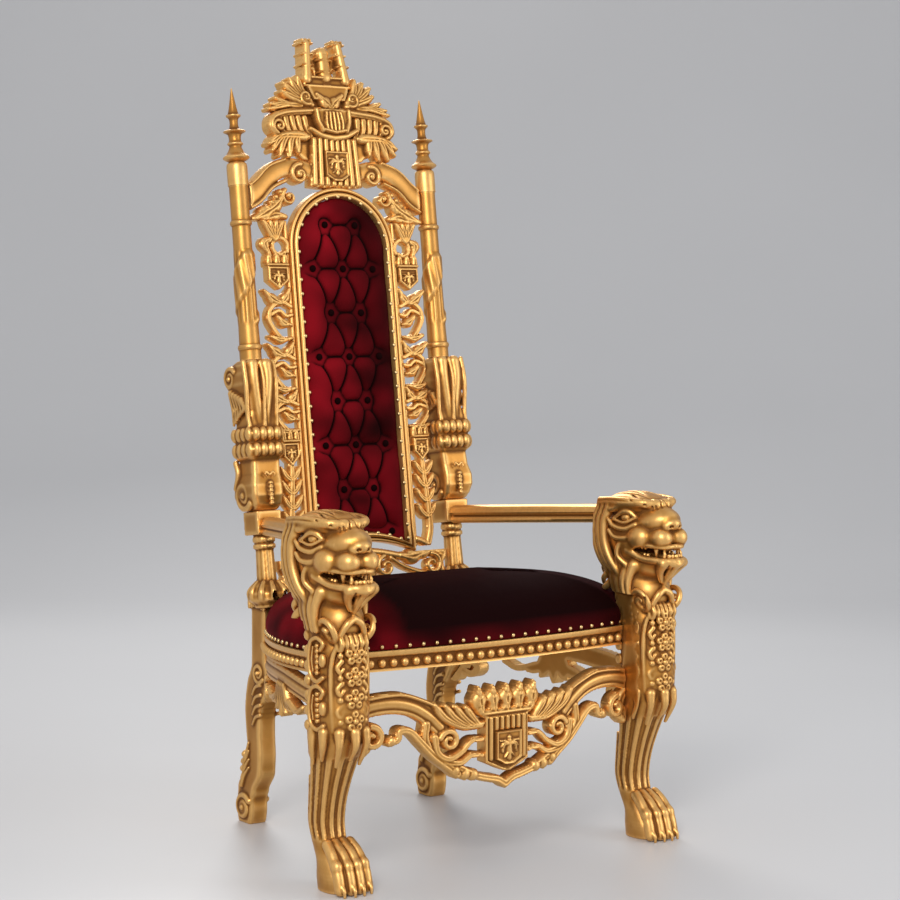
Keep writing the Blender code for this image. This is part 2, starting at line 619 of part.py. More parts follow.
def fret(name, side, parent):
    """Pierced strip of scrolls, shields and leaves between frame and post."""
    post_side = POST_X - POST_RADIUS
    low = (FRAME_HALF_WIDTH - 0.003, FRET_FOOT - 0.008)
    high = (post_side + 0.002, CREST_FOOT + 0.014)
    across = ((0.149, 0.2475), (FRAME_HALF_WIDTH, post_side))
    along = ((-0.104, 0.698), (FRET_FOOT, CREST_FOOT))
    work = Carving(low, high, 0.0038, False, across, along)
    inner = 0.1502
    bar = 0.0060
    work.stroke([(inner, 0.700), (inner, 0.300), (inner, -0.100)], 0.0090, 0.0090, 0.004)
    for k in range(4):
        u = 0.166 + 0.014 * k
        tip = (u + 0.005 * (k - 1), 0.700)
        work.leaf([(0.188, 0.650), (0.5 * u + 0.095, 0.668), tip], 0.010, 0.008, lobes=1)
    work.leaf([(0.200, 0.652), (0.216, 0.640), (0.204, 0.612)], 0.011, 0.007, lobes=2)
    work.stroke(spiral((0.176, 0.634), 0.023, -150.0, -0.95, 0.8), bar, bar, 0.007)
    for centre, half in ((0.562, 0.028), (0.139, 0.022)):
        shield_u = 0.187
        left, right, crown = shield_u - half, shield_u + half, centre + 0.028
        work.panel([(left, centre - 0.010), (shield_u, centre - 0.032), (right, centre - 0.010),
                    (right, centre + 0.024), (left, centre + 0.024)], 0.008)
        work.stroke([(left, crown), (right, crown)], 0.005, 0.005, 0.012)
        for k in (-1, 0, 1):
            u = shield_u + 0.8 * half * k
            work.leaf([(u, centre + 0.030), (u, centre + 0.040), (u, centre + 0.052)], 0.010, 0.009, lobes=1)
        work.stroke([(inner, centre), (shield_u, centre)], 0.008, 0.008, 0.0)
    for low, high in ((0.410, 0.535), (0.290, 0.405), (0.190, 0.290)):
        mid = 0.5 * (low + high)
        reach = high - low
        work.leaf([(0.185, high - 0.30 * reach), (0.205, high - 0.22 * reach), (0.228, high - 0.06 * reach)],
                  0.011, 0.008, lobes=2)
        work.leaf([(0.185, high - 0.30 * reach), (0.170, high - 0.20 * reach), (0.158, high - 0.02 * reach)],
                  0.009, 0.007, lobes=2)
        sweep = [(0.158, mid + 0.14 * reach), (0.186, mid + 0.23 * reach), (0.213, mid + 0.10 * reach),
                 (0.220, mid - 0.10 * reach), (0.208, mid - 0.30 * reach), (0.188, low)]
        work.stroke(sweep, bar, 0.0075, 0.008)
        work.stroke([(0.216, mid - 0.02 * reach), (0.190, mid + 0.06 * reach), (0.172, mid - 0.04 * reach),
                     (0.156, mid - 0.02 * reach)], bar, 0.005, 0.007)
        work.leaf([(0.196, mid - 0.06 * reach), (0.180, mid - 0.18 * reach), (0.160, mid - 0.22 * reach)],
                  0.009, 0.008, lobes=2)
        foot = [(0.218, low + 0.06 * reach), (0.192, low), (0.160, low + 0.03 * reach)]
        work.leaf(foot, 0.008, 0.008, lobes=2)
    stalk = [(0.187, 0.115), (0.190, 0.060), (0.196, 0.000), (0.198, -0.060), (0.186, -0.104)]
    work.stroke(stalk, 0.008, 0.011, 0.010)
    for height in (0.088, 0.056, 0.020, -0.018):
        for lean in (-0.026, 0.026):
            tip = (0.191 + lean, height + 0.016)
            bend = (0.191 + 0.5 * lean, height - 0.004)
            work.leaf([(0.191, height - 0.014), bend, tip], 0.009, 0.008, lobes=1)
    work.stroke([(inner, -0.086), (0.165, -0.090), (0.186, -0.100)], 0.009, 0.009, 0.008)
    edge = np.where(work.grid_v < CONSOLE_TOP + 0.006, CONSOLE_INNER_X - CARVING_GAP, post_side - 0.010)
    work.keep(edge - work.grid_u)
    work.keep(arch_clearance(work, CARVING_GAP))
    work.keep(work.grid_v - FRET_FOOT)

    def place(u, v, depth):
        return (u, 0.008 - depth, v)

    carved = board(name, work, FRET_THICKNESS, place, FRET_FACES)
    cuts = (((0, 0, CREST_FOOT - JOINT_GAP), (0, 0, 1)), ((FRAME_HALF_WIDTH + CARVING_GAP, 0, 0), (-1, 0, 0)))
    return add(name, handed(trimmed(carved, cuts), side), gold(name), parent)


def lower_fret(name, parent):
    """Pierced scrolls between the back frame, the posts and the back rail."""
    foot = (rail_top(BACK_FOOT_Y) - BACK_FOOT_Z) / math.cos(BACK_RAKE) + 0.012
    work = Carving((-0.252, foot - 0.01), (0.252, -0.070), 0.0044, True)
    work.stroke([(0.240, -0.128), (0.200, -0.118), (0.165, -0.122), (0.125, -0.126)], 0.012, 0.009, 0.008)
    work.stroke([(0.240, -0.120), (0.222, -0.150), (0.236, -0.185), (0.246, -0.190)], 0.010, 0.010, 0.006)
    work.leaf([(0.105, -0.124), (0.140, -0.128), (0.175, -0.118), (0.210, -0.112)], 0.016, 0.010, lobes=3)
    work.stroke(spiral((0.196, -0.150), 0.026, 90.0, -1.2), 0.007, 0.005, 0.010)
    work.stroke([(0.110, -0.126), (0.076, -0.118), (0.045, -0.112), (0.0, -0.106)], 0.009, 0.009, 0.006)
    work.stroke([(0.190, -0.176), (0.150, -0.165), (0.110, -0.150), (0.075, -0.128)], 0.008, 0.006, 0.008)
    work.stroke(spiral((0.060, -0.148), 0.026, 100.0, 1.2), 0.007, 0.005, 0.010)
    fall = [(0.190, -0.172), (0.180, -0.200), (0.140, -0.222), (0.120, -0.250), (0.118, foot)]
    work.stroke(fall, 0.008, 0.013, 0.008)
    work.leaf([(0.0, foot + 0.060), (0.0, -0.165), (0.0, -0.104)], 0.026, 0.010, lobes=2)
    base = [(0.0, foot + 0.05), (0.050, foot + 0.060), (0.090, foot + 0.030), (0.120, foot + 0.010)]
    work.stroke(base, 0.009, 0.012, 0.008)
    outer = POST_X - 0.031
    frame_bottom = FRAME_BOTTOM + FRAME_BOTTOM_RISE * (1.0 - np.minimum(work.u / FRAME_HALF_WIDTH, 1.0) ** 2)
    work.keep(outer - work.u)
    work.keep(frame_bottom - CARVING_GAP - work.v)
    work.keep(work.v - foot)

    def place(u, v, depth):
        return (u, 0.010 - depth, v)

    return add(name, board(name, work, FRET_THICKNESS, place, LOWER_FRET_FACES), gold(name), parent)


def front_apron(name, parent):
    """Bowed board with a crowned shield, leaves and scrolls."""
    work = Carving((-LEG_INNER_X - 0.006, 0.160), (LEG_INNER_X + 0.006, 0.412), 0.0044, True)
    band = [(0.375, 0.372), (0.330, 0.382), (0.280, 0.382), (0.235, 0.370), (0.195, 0.345), (0.170, 0.322)]
    work.stroke(band, 0.024, 0.020, 0.006)
    edge = [(0.345, 0.398), (0.300, 0.402), (0.260, 0.400), (0.215, 0.384), (0.190, 0.372)]
    work.stroke(edge, 0.005, 0.005, 0.010)
    work.stroke(spiral((0.338, 0.312), 0.026, 90.0, 1.1), 0.009, 0.006, 0.010)
    work.stroke([(0.375, 0.345), (0.356, 0.330), (0.350, 0.300)], 0.012, 0.012, 0.004)
    work.leaf([(0.352, 0.300), (0.360, 0.290), (0.372, 0.276)], 0.016, 0.006)
    sweep = [(0.296, 0.298), (0.276, 0.304), (0.270, 0.322), (0.245, 0.318), (0.215, 0.288), (0.185, 0.258),
             (0.150, 0.232), (0.128, 0.214)]
    work.stroke(sweep, 0.008, 0.011, 0.009)
    work.disc((0.290, 0.302), 0.012, 0.010)
    work.stroke([(0.205, 0.330), (0.208, 0.300), (0.196, 0.270)], 0.010, 0.010, 0.007)
    for k in range(4):
        lift = 0.372 - 0.004 * k
        bend = (0.160 - 0.022 * k, 0.340)
        work.leaf([(0.188 - 0.026 * k, lift), bend, (0.110 - 0.012 * k, 0.318), (0.064, 0.322)],
                  0.011, 0.012, lobes=1)
    work.stroke(spiral((0.150, 0.290), 0.024, 20.0, 1.3), 0.008, 0.005, 0.012)
    hook = [(0.186, 0.300), (0.178, 0.266), (0.150, 0.250), (0.118, 0.262), (0.092, 0.284), (0.064, 0.286)]
    work.stroke(hook, 0.010, 0.006, 0.010)
    work.stroke([(0.160, 0.244), (0.120, 0.238), (0.092, 0.252), (0.064, 0.250)], 0.009, 0.006, 0.009)
    for u, v in ((0.134, 0.222), (0.108, 0.212), (0.086, 0.208)):
        work.disc((u, v), 0.014, 0.010)
    tail = [(0.120, 0.226), (0.080, 0.206), (0.045, 0.196), (0.020, 0.190), (0.0, 0.178)]
    work.stroke(tail, 0.009, 0.010, 0.008)
    work.panel([(-0.01, 0.208), (0.010, 0.210), (0.058, 0.232), (0.058, 0.336), (-0.01, 0.336)], 0.010)
    work.panel([(-0.01, 0.224), (0.012, 0.226), (0.032, 0.238), (0.032, 0.300), (-0.010, 0.300)], 0.018)
    for k in range(4):
        work.stroke([(0.015 * k, 0.306 - 0.07 * (k > 2)), (0.015 * k, 0.332)], 0.006, 0.006, 0.006, 0.010)
    work.stroke([(-0.01, 0.342), (0.062, 0.342)], 0.009, 0.009, 0.014)
    for u in (0.0, 0.034, 0.068):
        work.leaf([(u, 0.346), (1.05 * u, 0.370), (1.12 * u, 0.398)], 0.017, 0.013, lobes=2)
    work.pierce((0.017, 0.361), 0.007, 0.008)
    work.pierce((0.052, 0.361), 0.007, 0.008)

    def place(u, v, depth):
        return (u, front_rail_y(u) - 0.008 + APRON_THICKNESS - depth, v)

    carved = board(name, work, APRON_THICKNESS, place, FRONT_APRON_FACES)
    reach = LEG_INNER_X - JOINT_GAP
    cuts = (((reach, 0, 0), (1, 0, 0)), ((-reach, 0, 0), (-1, 0, 0)))
    return add(name, trimmed(carved, cuts), gold(name), parent)


def side_rail_x(y):
    """Outer face of a side rail, bowed outwards."""
    front, rear = LEG_REAR_Y, BACK_FOOT_Y - 0.035
    share = (y - front) / (rear - front)
    straight = SIDE_RAIL_FRONT_X + (SIDE_RAIL_REAR_X - SIDE_RAIL_FRONT_X) * share
    return straight + SIDE_RAIL_BOW * 4.0 * share * (1.0 - share)


def side_apron(name, side, parent):
    """Arched bracket board under each side rail."""
    front = LEG_REAR_Y + JOINT_GAP
    rear = BACK_FOOT_Y - 0.030
    work = Carving((front - 0.006, 0.250), (rear, 0.460), 0.0046, False)
    middle = 0.5 * (front + rear) - 0.02
    arch = [(front - 0.01, 0.385), (front + 0.07, 0.398), (middle, 0.412), (rear - 0.09, 0.404),
            (rear + 0.01, 0.392)]
    work.stroke(arch, 0.024, 0.022, 0.006)
    work.stroke(spiral((front + 0.040, 0.330), 0.028, 100.0, 1.2), 0.010, 0.006, 0.010)
    work.stroke([(front + 0.010, 0.360), (front + 0.012, 0.320), (front + 0.002, 0.290)], 0.012, 0.012, 0.006)
    work.stroke(spiral((rear - 0.050, 0.345), 0.026, 80.0, -1.2), 0.010, 0.006, 0.010)
    work.stroke([(rear - 0.004, 0.372), (rear - 0.018, 0.345), (rear - 0.010, 0.318)], 0.014, 0.012, 0.006)
    for k in range(-2, 3):
        tip = (middle + 0.036 * k, 0.330 + 0.010 * abs(k))
        work.leaf([(middle + 0.010 * k, 0.398), (middle + 0.020 * k, 0.362), tip], 0.013, 0.010, lobes=1)
    for lean in (-1, 1):
        hook = [(middle + lean * 0.05, 0.365), (middle + lean * 0.10, 0.352), (middle + lean * 0.135, 0.366)]
        work.stroke(hook, 0.008, 0.006, 0.009)
    limit = np.vectorize(rear_leg_front)(work.v[0])
    work.keep(limit[None, :] - 2.0 * CARVING_GAP - work.u)

    def place(u, v, depth):
        return (side_rail_x(u) - 0.010 - APRON_THICKNESS + depth, u, v)

    carved = board(name, work, APRON_THICKNESS, place, SIDE_APRON_FACES)
    return add(name, handed(trimmed(carved, [((0, front, 0), (0, -1, 0))]), side), gold(name), parent)


def side_rail(name, side, parent):
    """Bowed rail with a pearl moulding under the upholstery."""
    front = LEG_REAR_Y + JOINT_GAP
    rear = BACK_FOOT_Y - 0.034 - JOINT_GAP
    rings = []
    for k in range(2 * SIDE_PEARLS + 1):
        y = front + (rear - front) * k / (2 * SIDE_PEARLS)
        bulge = PEARL_DEPTH * (k % 2)
        face = side_rail_x(y)
        top = rail_top(y)
        low = top - RAIL_HEIGHT
        profile = ((face - RAIL_THICKNESS, low), (face - RAIL_THICKNESS, top), (face, top),
                   (face - PEARL_DEPTH + bulge, low + PEARL_RADIUS))
        rings.append([(side * x, y, z) for x, z in profile])
    work = loft(bmesh.new(), rings)
    bmesh.ops.dissolve_limit(work, angle_limit=math.radians(2.0), verts=work.verts, edges=work.edges)
    return add(name, mesh_from(work, name, 30.0), gold(name), parent)


def front_rail(name, parent):
    """Bowed rail with pearls along its face."""
    reach = LEG_INNER_X - JOINT_GAP
    low = RAIL_TOP_FRONT - RAIL_HEIGHT
    rings = []
    for k in range(2 * PEARLS + 1):
        x = -reach + 2 * reach * k / (2 * PEARLS)
        face = front_rail_y(x)
        bulge = PEARL_DEPTH * (k % 2)
        profile = ((face + RAIL_THICKNESS, low), (face + RAIL_THICKNESS, RAIL_TOP_FRONT),
                   (face, RAIL_TOP_FRONT), (face + PEARL_DEPTH - bulge, low + PEARL_RADIUS))
        rings.append([(x, y, z) for y, z in profile])
    work = loft(bmesh.new(), rings)
    bmesh.ops.dissolve_limit(work, angle_limit=math.radians(2.0), verts=work.verts, edges=work.edges)
    return add(name, mesh_from(work, name, 30.0), gold(name), parent)


def back_rail(name, parent):
    """Plain rail between the rear legs."""
    reach = REAR_LEG_X - REAR_LEG_THICKNESS / 2 - JOINT_GAP
    top = rail_top(BACK_FOOT_Y)
    front = BACK_FOOT_Y - RAIL_THICKNESS
    rear = front + RAIL_HEIGHT
    low = top - 0.060
    rings = [[(x, front, low), (x, rear, low), (x, rear, top), (x, front, top)] for x in (-reach, reach)]
    return add(name, lofted(name, rings, 30.0), gold(name), parent)


def cushion_outline(inset):
    """Seat outline between the legs, over the rails; right half mirrored to the left."""
    front_inset = 0.006 + inset
    right = []
    for x in np.linspace(0.0, LEG_INNER_X - 0.006 - inset, 6):
        right.append((x, front_rail_y(x) + front_inset))
    right.append((LEG_INNER_X - 0.006 - inset, LEG_REAR_Y + 0.012 + 0.6 * inset))
    rear = BACK_FOOT_Y - 0.046 - inset
    for y in np.linspace(LEG_REAR_Y + 0.016 + inset, rear, 7):
        right.append((side_rail_x(y) - 0.006 - inset, y))
    right[-1] = (right[-1][0] - 0.012, rear)
    left = [(-x, y) for x, y in reversed(right[1:])]
    return right + left


def seat_cushion(name, parent):
    """Domed and fixed over the rails."""
    steps = ((RAIL_THICKNESS - 0.003, 0.0), (0.0, 0.0), (-0.002, 0.025), (0.006, 0.050), (0.030, 0.080),
             (0.075, 0.104), (0.140, CUSHION_CROWN))
    below = RAIL_TOP_REAR - 0.008
    rings = [[(x, y, below) for x, y in cushion_outline(RAIL_THICKNESS + 0.006)]]
    for inset, lift in steps:
        ring = []
        for x, y in cushion_outline(inset):
            ring.append((x, y, rail_top(y) + CUSHION_GAP + lift))
        rings.append(ring)
    return add(name, lofted(name, rings, 60.0), velvet(name), parent)


def arm(name, side, parent):
    """Straight moulded arm from the post's block to the back of the lion's head."""
    rings = []
    half = ARM_WIDTH / 2
    for share in (0.0, 0.5, 1.0):
        x = side * (POST_X + (FRONT_LEG_X - POST_X) * share)
        top = ARM_TOP_REAR + (ARM_TOP_FRONT - ARM_TOP_REAR) * share
        swell = 1.0 + 0.25 * max(0.0, share - 0.5) * 2.0
        shoulder = ARM_HEIGHT - 0.014
        section = ((-half, 0.012), (-half, shoulder), (-half + 0.008, ARM_HEIGHT), (half - 0.008, ARM_HEIGHT),
                   (half, shoulder), (half, 0.012), (half - 0.010, 0.0), (-half + 0.010, 0.0))
        ring = []
        for across, rise in section:
            z = top - ARM_HEIGHT + rise
            up = (z - BACK_FOOT_Z) / math.cos(BACK_RAKE)
            block = (ARM_BLOCK_HALF + JOINT_GAP) / math.cos(BACK_RAKE)
            rear_y = BACK_FOOT_Y + up * math.sin(BACK_RAKE) - block
            y = rear_y + (HEAD_BACK_Y + JOINT_GAP - rear_y) * share
            ring.append((x + across * swell, y, z))
        rings.append(ring)
    return add(name, lofted(name, rings, 30.0), gold(name), parent)


def ball(work, centre, radii, turn=0.0):
    """An ellipsoid, turned about X, to be fused into a carving."""
    made = bmesh.ops.create_uvsphere(work, u_segments=16, v_segments=10, radius=1.0)
    cos, sin = math.cos(turn), math.sin(turn)
    for vertex in made["verts"]:
        x, y, z = (vertex.co[i] * radii[i] for i in range(3))
        vertex.co = Vector((centre[0] + x, centre[1] + cos * y - sin * z, centre[2] + sin * y + cos * z))


def box_cutter(low, high):
    """A closed box mesh between two corners."""
    rings = [soft_box(low[0], high[0], low[1], high[1], z, 0.001) for z in (low[2], high[2])]
    return lofted("cutter", rings, 30.0)


# Leg sections: height, centre from the foot, half width across, half depth
LEG_SECTIONS = (
    (0.000, 0.000, 0.043, 0.046), (0.030, 0.002, 0.045, 0.046), (0.060, 0.014, 0.041, 0.036),
    (0.085, 0.034, 0.036, 0.034), (0.110, 0.046, 0.036, 0.036), (0.140, 0.053, 0.037, 0.038),
    (0.180, 0.049, 0.038, 0.040), (0.220, 0.040, 0.041, 0.044), (0.260, 0.029, 0.046, 0.050),
    (0.300, 0.017, 0.052, 0.057), (0.340, 0.004, 0.055, 0.062), (0.380, -0.002, 0.056, 0.062),
    (0.430, 0.000, 0.055, 0.060), (0.480, 0.002, 0.054, 0.058), (0.520, 0.010, 0.054, 0.058),
    (0.560, 0.022, 0.055, 0.056), (0.600, 0.040, 0.058, 0.062), (0.640, 0.052, 0.060, 0.066),
)


def front_leg(name, side, parent):
    """Lion carved from one post: clawed paw, fluted shank, scrolled knee, neck and head."""
    work = bmesh.new()
    x0 = FRONT_LEG_X
    y0 = FRONT_FEET_Y
    rings = []
    for height, shift, half_x, half_y in LEG_SECTIONS:
        ring = []
        for k in range(24):
            angle = math.tau * k / 24
            flute = 1.0 - 0.10 * (0.10 < height < 0.29) * (k % 3 == 0)
            side_reach = flute * half_x * math.cos(angle)
            ring.append((x0 + side_reach, y0 + shift + flute * half_y * math.sin(angle), height))
        rings.append(ring)
    loft(work, rings)
    for k in range(4):
        x = x0 + 0.0225 * (k - 1.5)
        reach = 0.006 * (k in (1, 2))
        ball(work, (x, y0 - 0.036 - reach, 0.026), (0.0135, 0.030, 0.024), math.radians(-18.0))
        ball(work, (x, y0 - 0.060 - reach, 0.010), (0.006, 0.012, 0.012))
    for k in range(4):
        z = 0.368 + 0.047 * k
        ball(work, (x0, y0 - 0.062, z), (0.017, 0.012, 0.017))
        for lean in (-1, 1):
            ball(work, (x0 + lean * 0.036, y0 - 0.048, z + 0.022), (0.016, 0.016, 0.022))
    ball(work, (x0, y0 - 0.052, 0.310), (0.030, 0.018, 0.040))
    for lean in (-1, 1):
        ball(work, (x0 + lean * 0.046, y0 - 0.006, 0.420), (0.016, 0.044, 0.080))
    ball(work, (x0, y0 + 0.030, 0.710), (0.068, 0.082, 0.082))
    ball(work, (x0, y0 - 0.034, 0.738), (0.050, 0.062, 0.040), math.radians(-14.0))
    ball(work, (x0, y0 - 0.076, 0.706), (0.036, 0.046, 0.030), math.radians(6.0))
    ball(work, (x0, y0 - 0.072, 0.652), (0.036, 0.052, 0.016), math.radians(10.0))
    ball(work, (x0, y0 - 0.080, 0.733), (0.019, 0.034, 0.014), math.radians(-12.0))
    ball(work, (x0, y0 - 0.040, 0.622), (0.028, 0.030, 0.030))
    for lean in (-1, 1):
        ball(work, (x0 + lean * 0.026, y0 - 0.078, 0.696), (0.022, 0.030, 0.022))
        ball(work, (x0 + lean * 0.034, y0 - 0.020, 0.760), (0.026, 0.040, 0.013), math.radians(10.0))
        ball(work, (x0 + lean * 0.048, y0 + 0.004, 0.688), (0.022, 0.052, 0.050))
        ball(work, (x0 + lean * 0.056, y0 + 0.050, 0.700), (0.018, 0.060, 0.076))
        ball(work, (x0 + lean * 0.030, y0 + 0.050, 0.590), (0.030, 0.040, 0.060))
        ball(work, (x0 + lean * 0.046, y0 + 0.072, 0.770), (0.024, 0.040, 0.020))
    ball(work, (x0, y0 + 0.030, 0.774), (0.060, 0.084, 0.026), math.radians(3.0))
    solid = mesh_from(work, name)
    carved = baked(solid, [("REMESH", {"mode": "VOXEL", "voxel_size": 0.0055}), ("TRIANGULATE", {})])
    carved = baked(carved, [("DECIMATE", {"ratio": LION_FACES / triangle_count(carved)})])
    cutters = (
        box_cutter((-0.1, -0.9, APRON_SEAT_BOTTOM), (LEG_INNER_X, 0.4, SEAT_SEAT_TOP)),
        box_cutter((0.1, LEG_REAR_Y, APRON_SEAT_BOTTOM), (0.7, 0.4, SEAT_SEAT_TOP)),
        box_cutter((0.1, HEAD_BACK_Y, 0.55), (0.7, 0.4, 0.9)),
        box_cutter((0.1, -0.9, -0.2), (0.7, 0.4, 0.0)),
    )
    for cutter in cutters:
        tool = bpy.data.objects.new("cutter", cutter)
        bpy.context.collection.objects.link(tool)
        carved = baked(carved, [("BOOLEAN", {"operation": "DIFFERENCE", "object": tool, "solver": "EXACT"})])
        bpy.data.objects.remove(tool)
    shaped = bmesh.new()
    shaped.from_mesh(carved)
    for vertex in shaped.verts:
        vertex.co.x *= side
    return add(name, mesh_from(shaped, name, 50.0), gold(name), parent)


def build():
    """Clear the scene and make every piece of the throne."""
    for existing in list(bpy.data.objects):
        bpy.data.objects.remove(existing)
    throne = empty("throne", (0.0, 0.0, 0.0))
    back = empty("back", (0.0, BACK_FOOT_Y, BACK_FOOT_Z), throne, BACK_RAKE)
    for word, side in (("left", -1), ("right", 1)):
        front_leg("front_leg_" + word, side, throne)
        rear_leg("rear_leg_" + word, side, throne)
        console("console_" + word, side, back)
        column("column_" + word, side, back)
        finial("finial_" + word, side, back)
        arm("arm_" + word, side, throne)
        side_rail("seat_rail_" + word, side, throne)
        side_apron("apron_" + word, side, throne)
        fret("fret_" + word, side, back)
    front_rail("seat_rail_front", throne)
    back_rail("seat_rail_back", throne)
    front_apron("apron_front", throne)
    seat_cushion("seat_cushion", throne)
    back_frame("back_frame", back)
    back_pad("back_pad", back)
    lower_fret("lower_fret", back)
    crest("crest", back)


build()
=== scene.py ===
"""Dress the carved throne: gilded carving, crimson velvet, brass nails, and the photographer's view of it."""
import logging
import math
from collections.abc import Callable, Iterable, Sequence
from dataclasses import dataclass
from enum import Enum

import bmesh
import bpy
import numpy as np
from mathutils import Matrix, Vector

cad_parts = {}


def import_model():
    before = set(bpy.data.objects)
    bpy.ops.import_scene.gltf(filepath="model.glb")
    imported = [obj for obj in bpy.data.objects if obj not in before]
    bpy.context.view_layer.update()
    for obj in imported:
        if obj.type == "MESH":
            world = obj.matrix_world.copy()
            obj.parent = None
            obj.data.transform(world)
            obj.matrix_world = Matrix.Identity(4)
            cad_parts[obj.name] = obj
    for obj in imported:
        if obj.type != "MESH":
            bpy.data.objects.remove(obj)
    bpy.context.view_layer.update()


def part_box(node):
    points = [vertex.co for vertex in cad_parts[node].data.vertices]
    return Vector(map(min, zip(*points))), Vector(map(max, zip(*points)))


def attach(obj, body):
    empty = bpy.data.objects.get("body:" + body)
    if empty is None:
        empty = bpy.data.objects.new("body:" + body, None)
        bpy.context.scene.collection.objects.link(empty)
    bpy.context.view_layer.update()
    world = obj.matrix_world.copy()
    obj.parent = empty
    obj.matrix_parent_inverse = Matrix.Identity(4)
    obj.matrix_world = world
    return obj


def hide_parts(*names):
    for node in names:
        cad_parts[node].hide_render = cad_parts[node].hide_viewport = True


LOG = logging.getLogger("throne")
Array = np.ndarray
Point = tuple[float, ...]


class Side(Enum):
    """Which half of the throne a piece belongs to."""

    LEFT = -1
    RIGHT = 1

    @property
    def word(self) -> str:
        """The word that ends the piece's name."""
        return self.name.lower()


@dataclass(frozen=True)
class Chair:
    """Sizes that the solids and their dressing share, in metres."""

    joint_gap: float = 0.0003
    front_feet_y: float = -0.330
    front_leg_x: float = 0.424
    rear_leg_x: float = 0.262
    rail_top_front: float = 0.497
    rail_top_rear: float = 0.470
    rail_height: float = 0.044
    rail_thickness: float = 0.032
    back_foot_y: float = 0.255
    back_foot_z: float = 0.750
    back_rake: float = math.radians(7.616)
    post_x: float = 0.270
    post_radius: float = 0.0225
    console_bottom: float = 0.006
    console_top: float = 0.363
    console_inner_x: float = 0.220
    column_top: float = 0.779
    finial_top: float = 1.014
    frame_half_width: float = 0.149
    frame_bar: float = 0.025
    frame_spring: float = 0.632
    frame_bottom: float = -0.114
    frame_bottom_rise: float = 0.030
    pad_crown: float = 0.022
    head_back_y: float = -0.215
    leg_inner_x: float = 0.370
    leg_rear_y: float = -0.273
    joint_low: float = 0.240
    joint_high: float = 0.572
    rear_leg_thickness: float = 0.048
    arm_block_half: float = 0.033
    front_rail_bow: float = 0.030
    side_rail_bow: float = 0.036
    side_rail_front_x: float = 0.432
    side_rail_rear_x: float = 0.286
    cushion_crown: float = 0.130
    apron_thickness: float = 0.022
    fret_thickness: float = 0.016
    crest_thickness: float = 0.022
    crest_lean: float = 0.0197
    crest_foot: float = 0.698

    def lean(self, points: Array) -> Array:
        """Lay points of the upright back (across, backwards, up the post) onto its rake.

        Args:
            points: rows of x, backward offset and height along the post.

        Returns:
            Rows of x, y and z in the throne's frame.
        """
        sin, cos = math.sin(self.back_rake), math.cos(self.back_rake)
        x, back, up = points[:, 0], points[:, 1], points[:, 2]
        return np.stack([x, self.back_foot_y + back * cos + up * sin, self.back_foot_z - back * sin + up * cos], axis=1)

    def front_rail_y(self, x: Array | float) -> Array | float:
        """Face of the bowed front rail at x."""
        return self.front_feet_y + 0.025 - self.front_rail_bow * (1.0 - (x / self.leg_inner_x) ** 2)

    def rail_top(self, y: Array | float) -> Array | float:
        """Height of the rails, which fall towards the back."""
        share = np.clip((y - self.leg_rear_y) / (self.back_foot_y - 0.035 - self.leg_rear_y), 0.0, 1.0)
        return self.rail_top_front + (self.rail_top_rear - self.rail_top_front) * share

    def side_rail_x(self, y: Array | float) -> Array | float:
        """Outer face of the bowed side rail at y."""
        share = (y - self.leg_rear_y) / (self.back_foot_y - 0.035 - self.leg_rear_y)
        straight = self.side_rail_front_x + (self.side_rail_rear_x - self.side_rail_front_x) * share
        return straight + self.side_rail_bow * 4.0 * share * (1.0 - share)


CHAIR = Chair()


class Number:
    """A shader number that takes part in Python arithmetic."""

    def __init__(self, shader: "Shader", socket: bpy.types.NodeSocket) -> None:
        """Wrap one output socket."""
        self.shader = shader
        self.socket = socket

    def _join(self, operation: str, first: object, second: object) -> "Number":
        """Add one Math node."""
        node = self.shader.node("ShaderNodeMath", {"operation": operation}, {0: first, 1: second})
        return Number(self.shader, node.outputs[0])

    def __add__(self, other: object) -> "Number":
        """Sum."""
        return self._join("ADD", self, other)

    __radd__ = __add__

    def __sub__(self, other: object) -> "Number":
        """Difference."""
        return self._join("SUBTRACT", self, other)

    def __rsub__(self, other: object) -> "Number":
        """Reflected difference."""
        return self._join("SUBTRACT", other, self)

    def __mul__(self, other: object) -> "Number":
        """Product."""
        return self._join("MULTIPLY", self, other)

    __rmul__ = __mul__

    def __pow__(self, other: object) -> "Number":
        """Power."""
        return self._join("POWER", self, other)

    def clamp(self) -> "Number":
        """Limit to 0 to 1."""
        return self._join("MINIMUM", self._join("MAXIMUM", self, 0.0), 1.0)


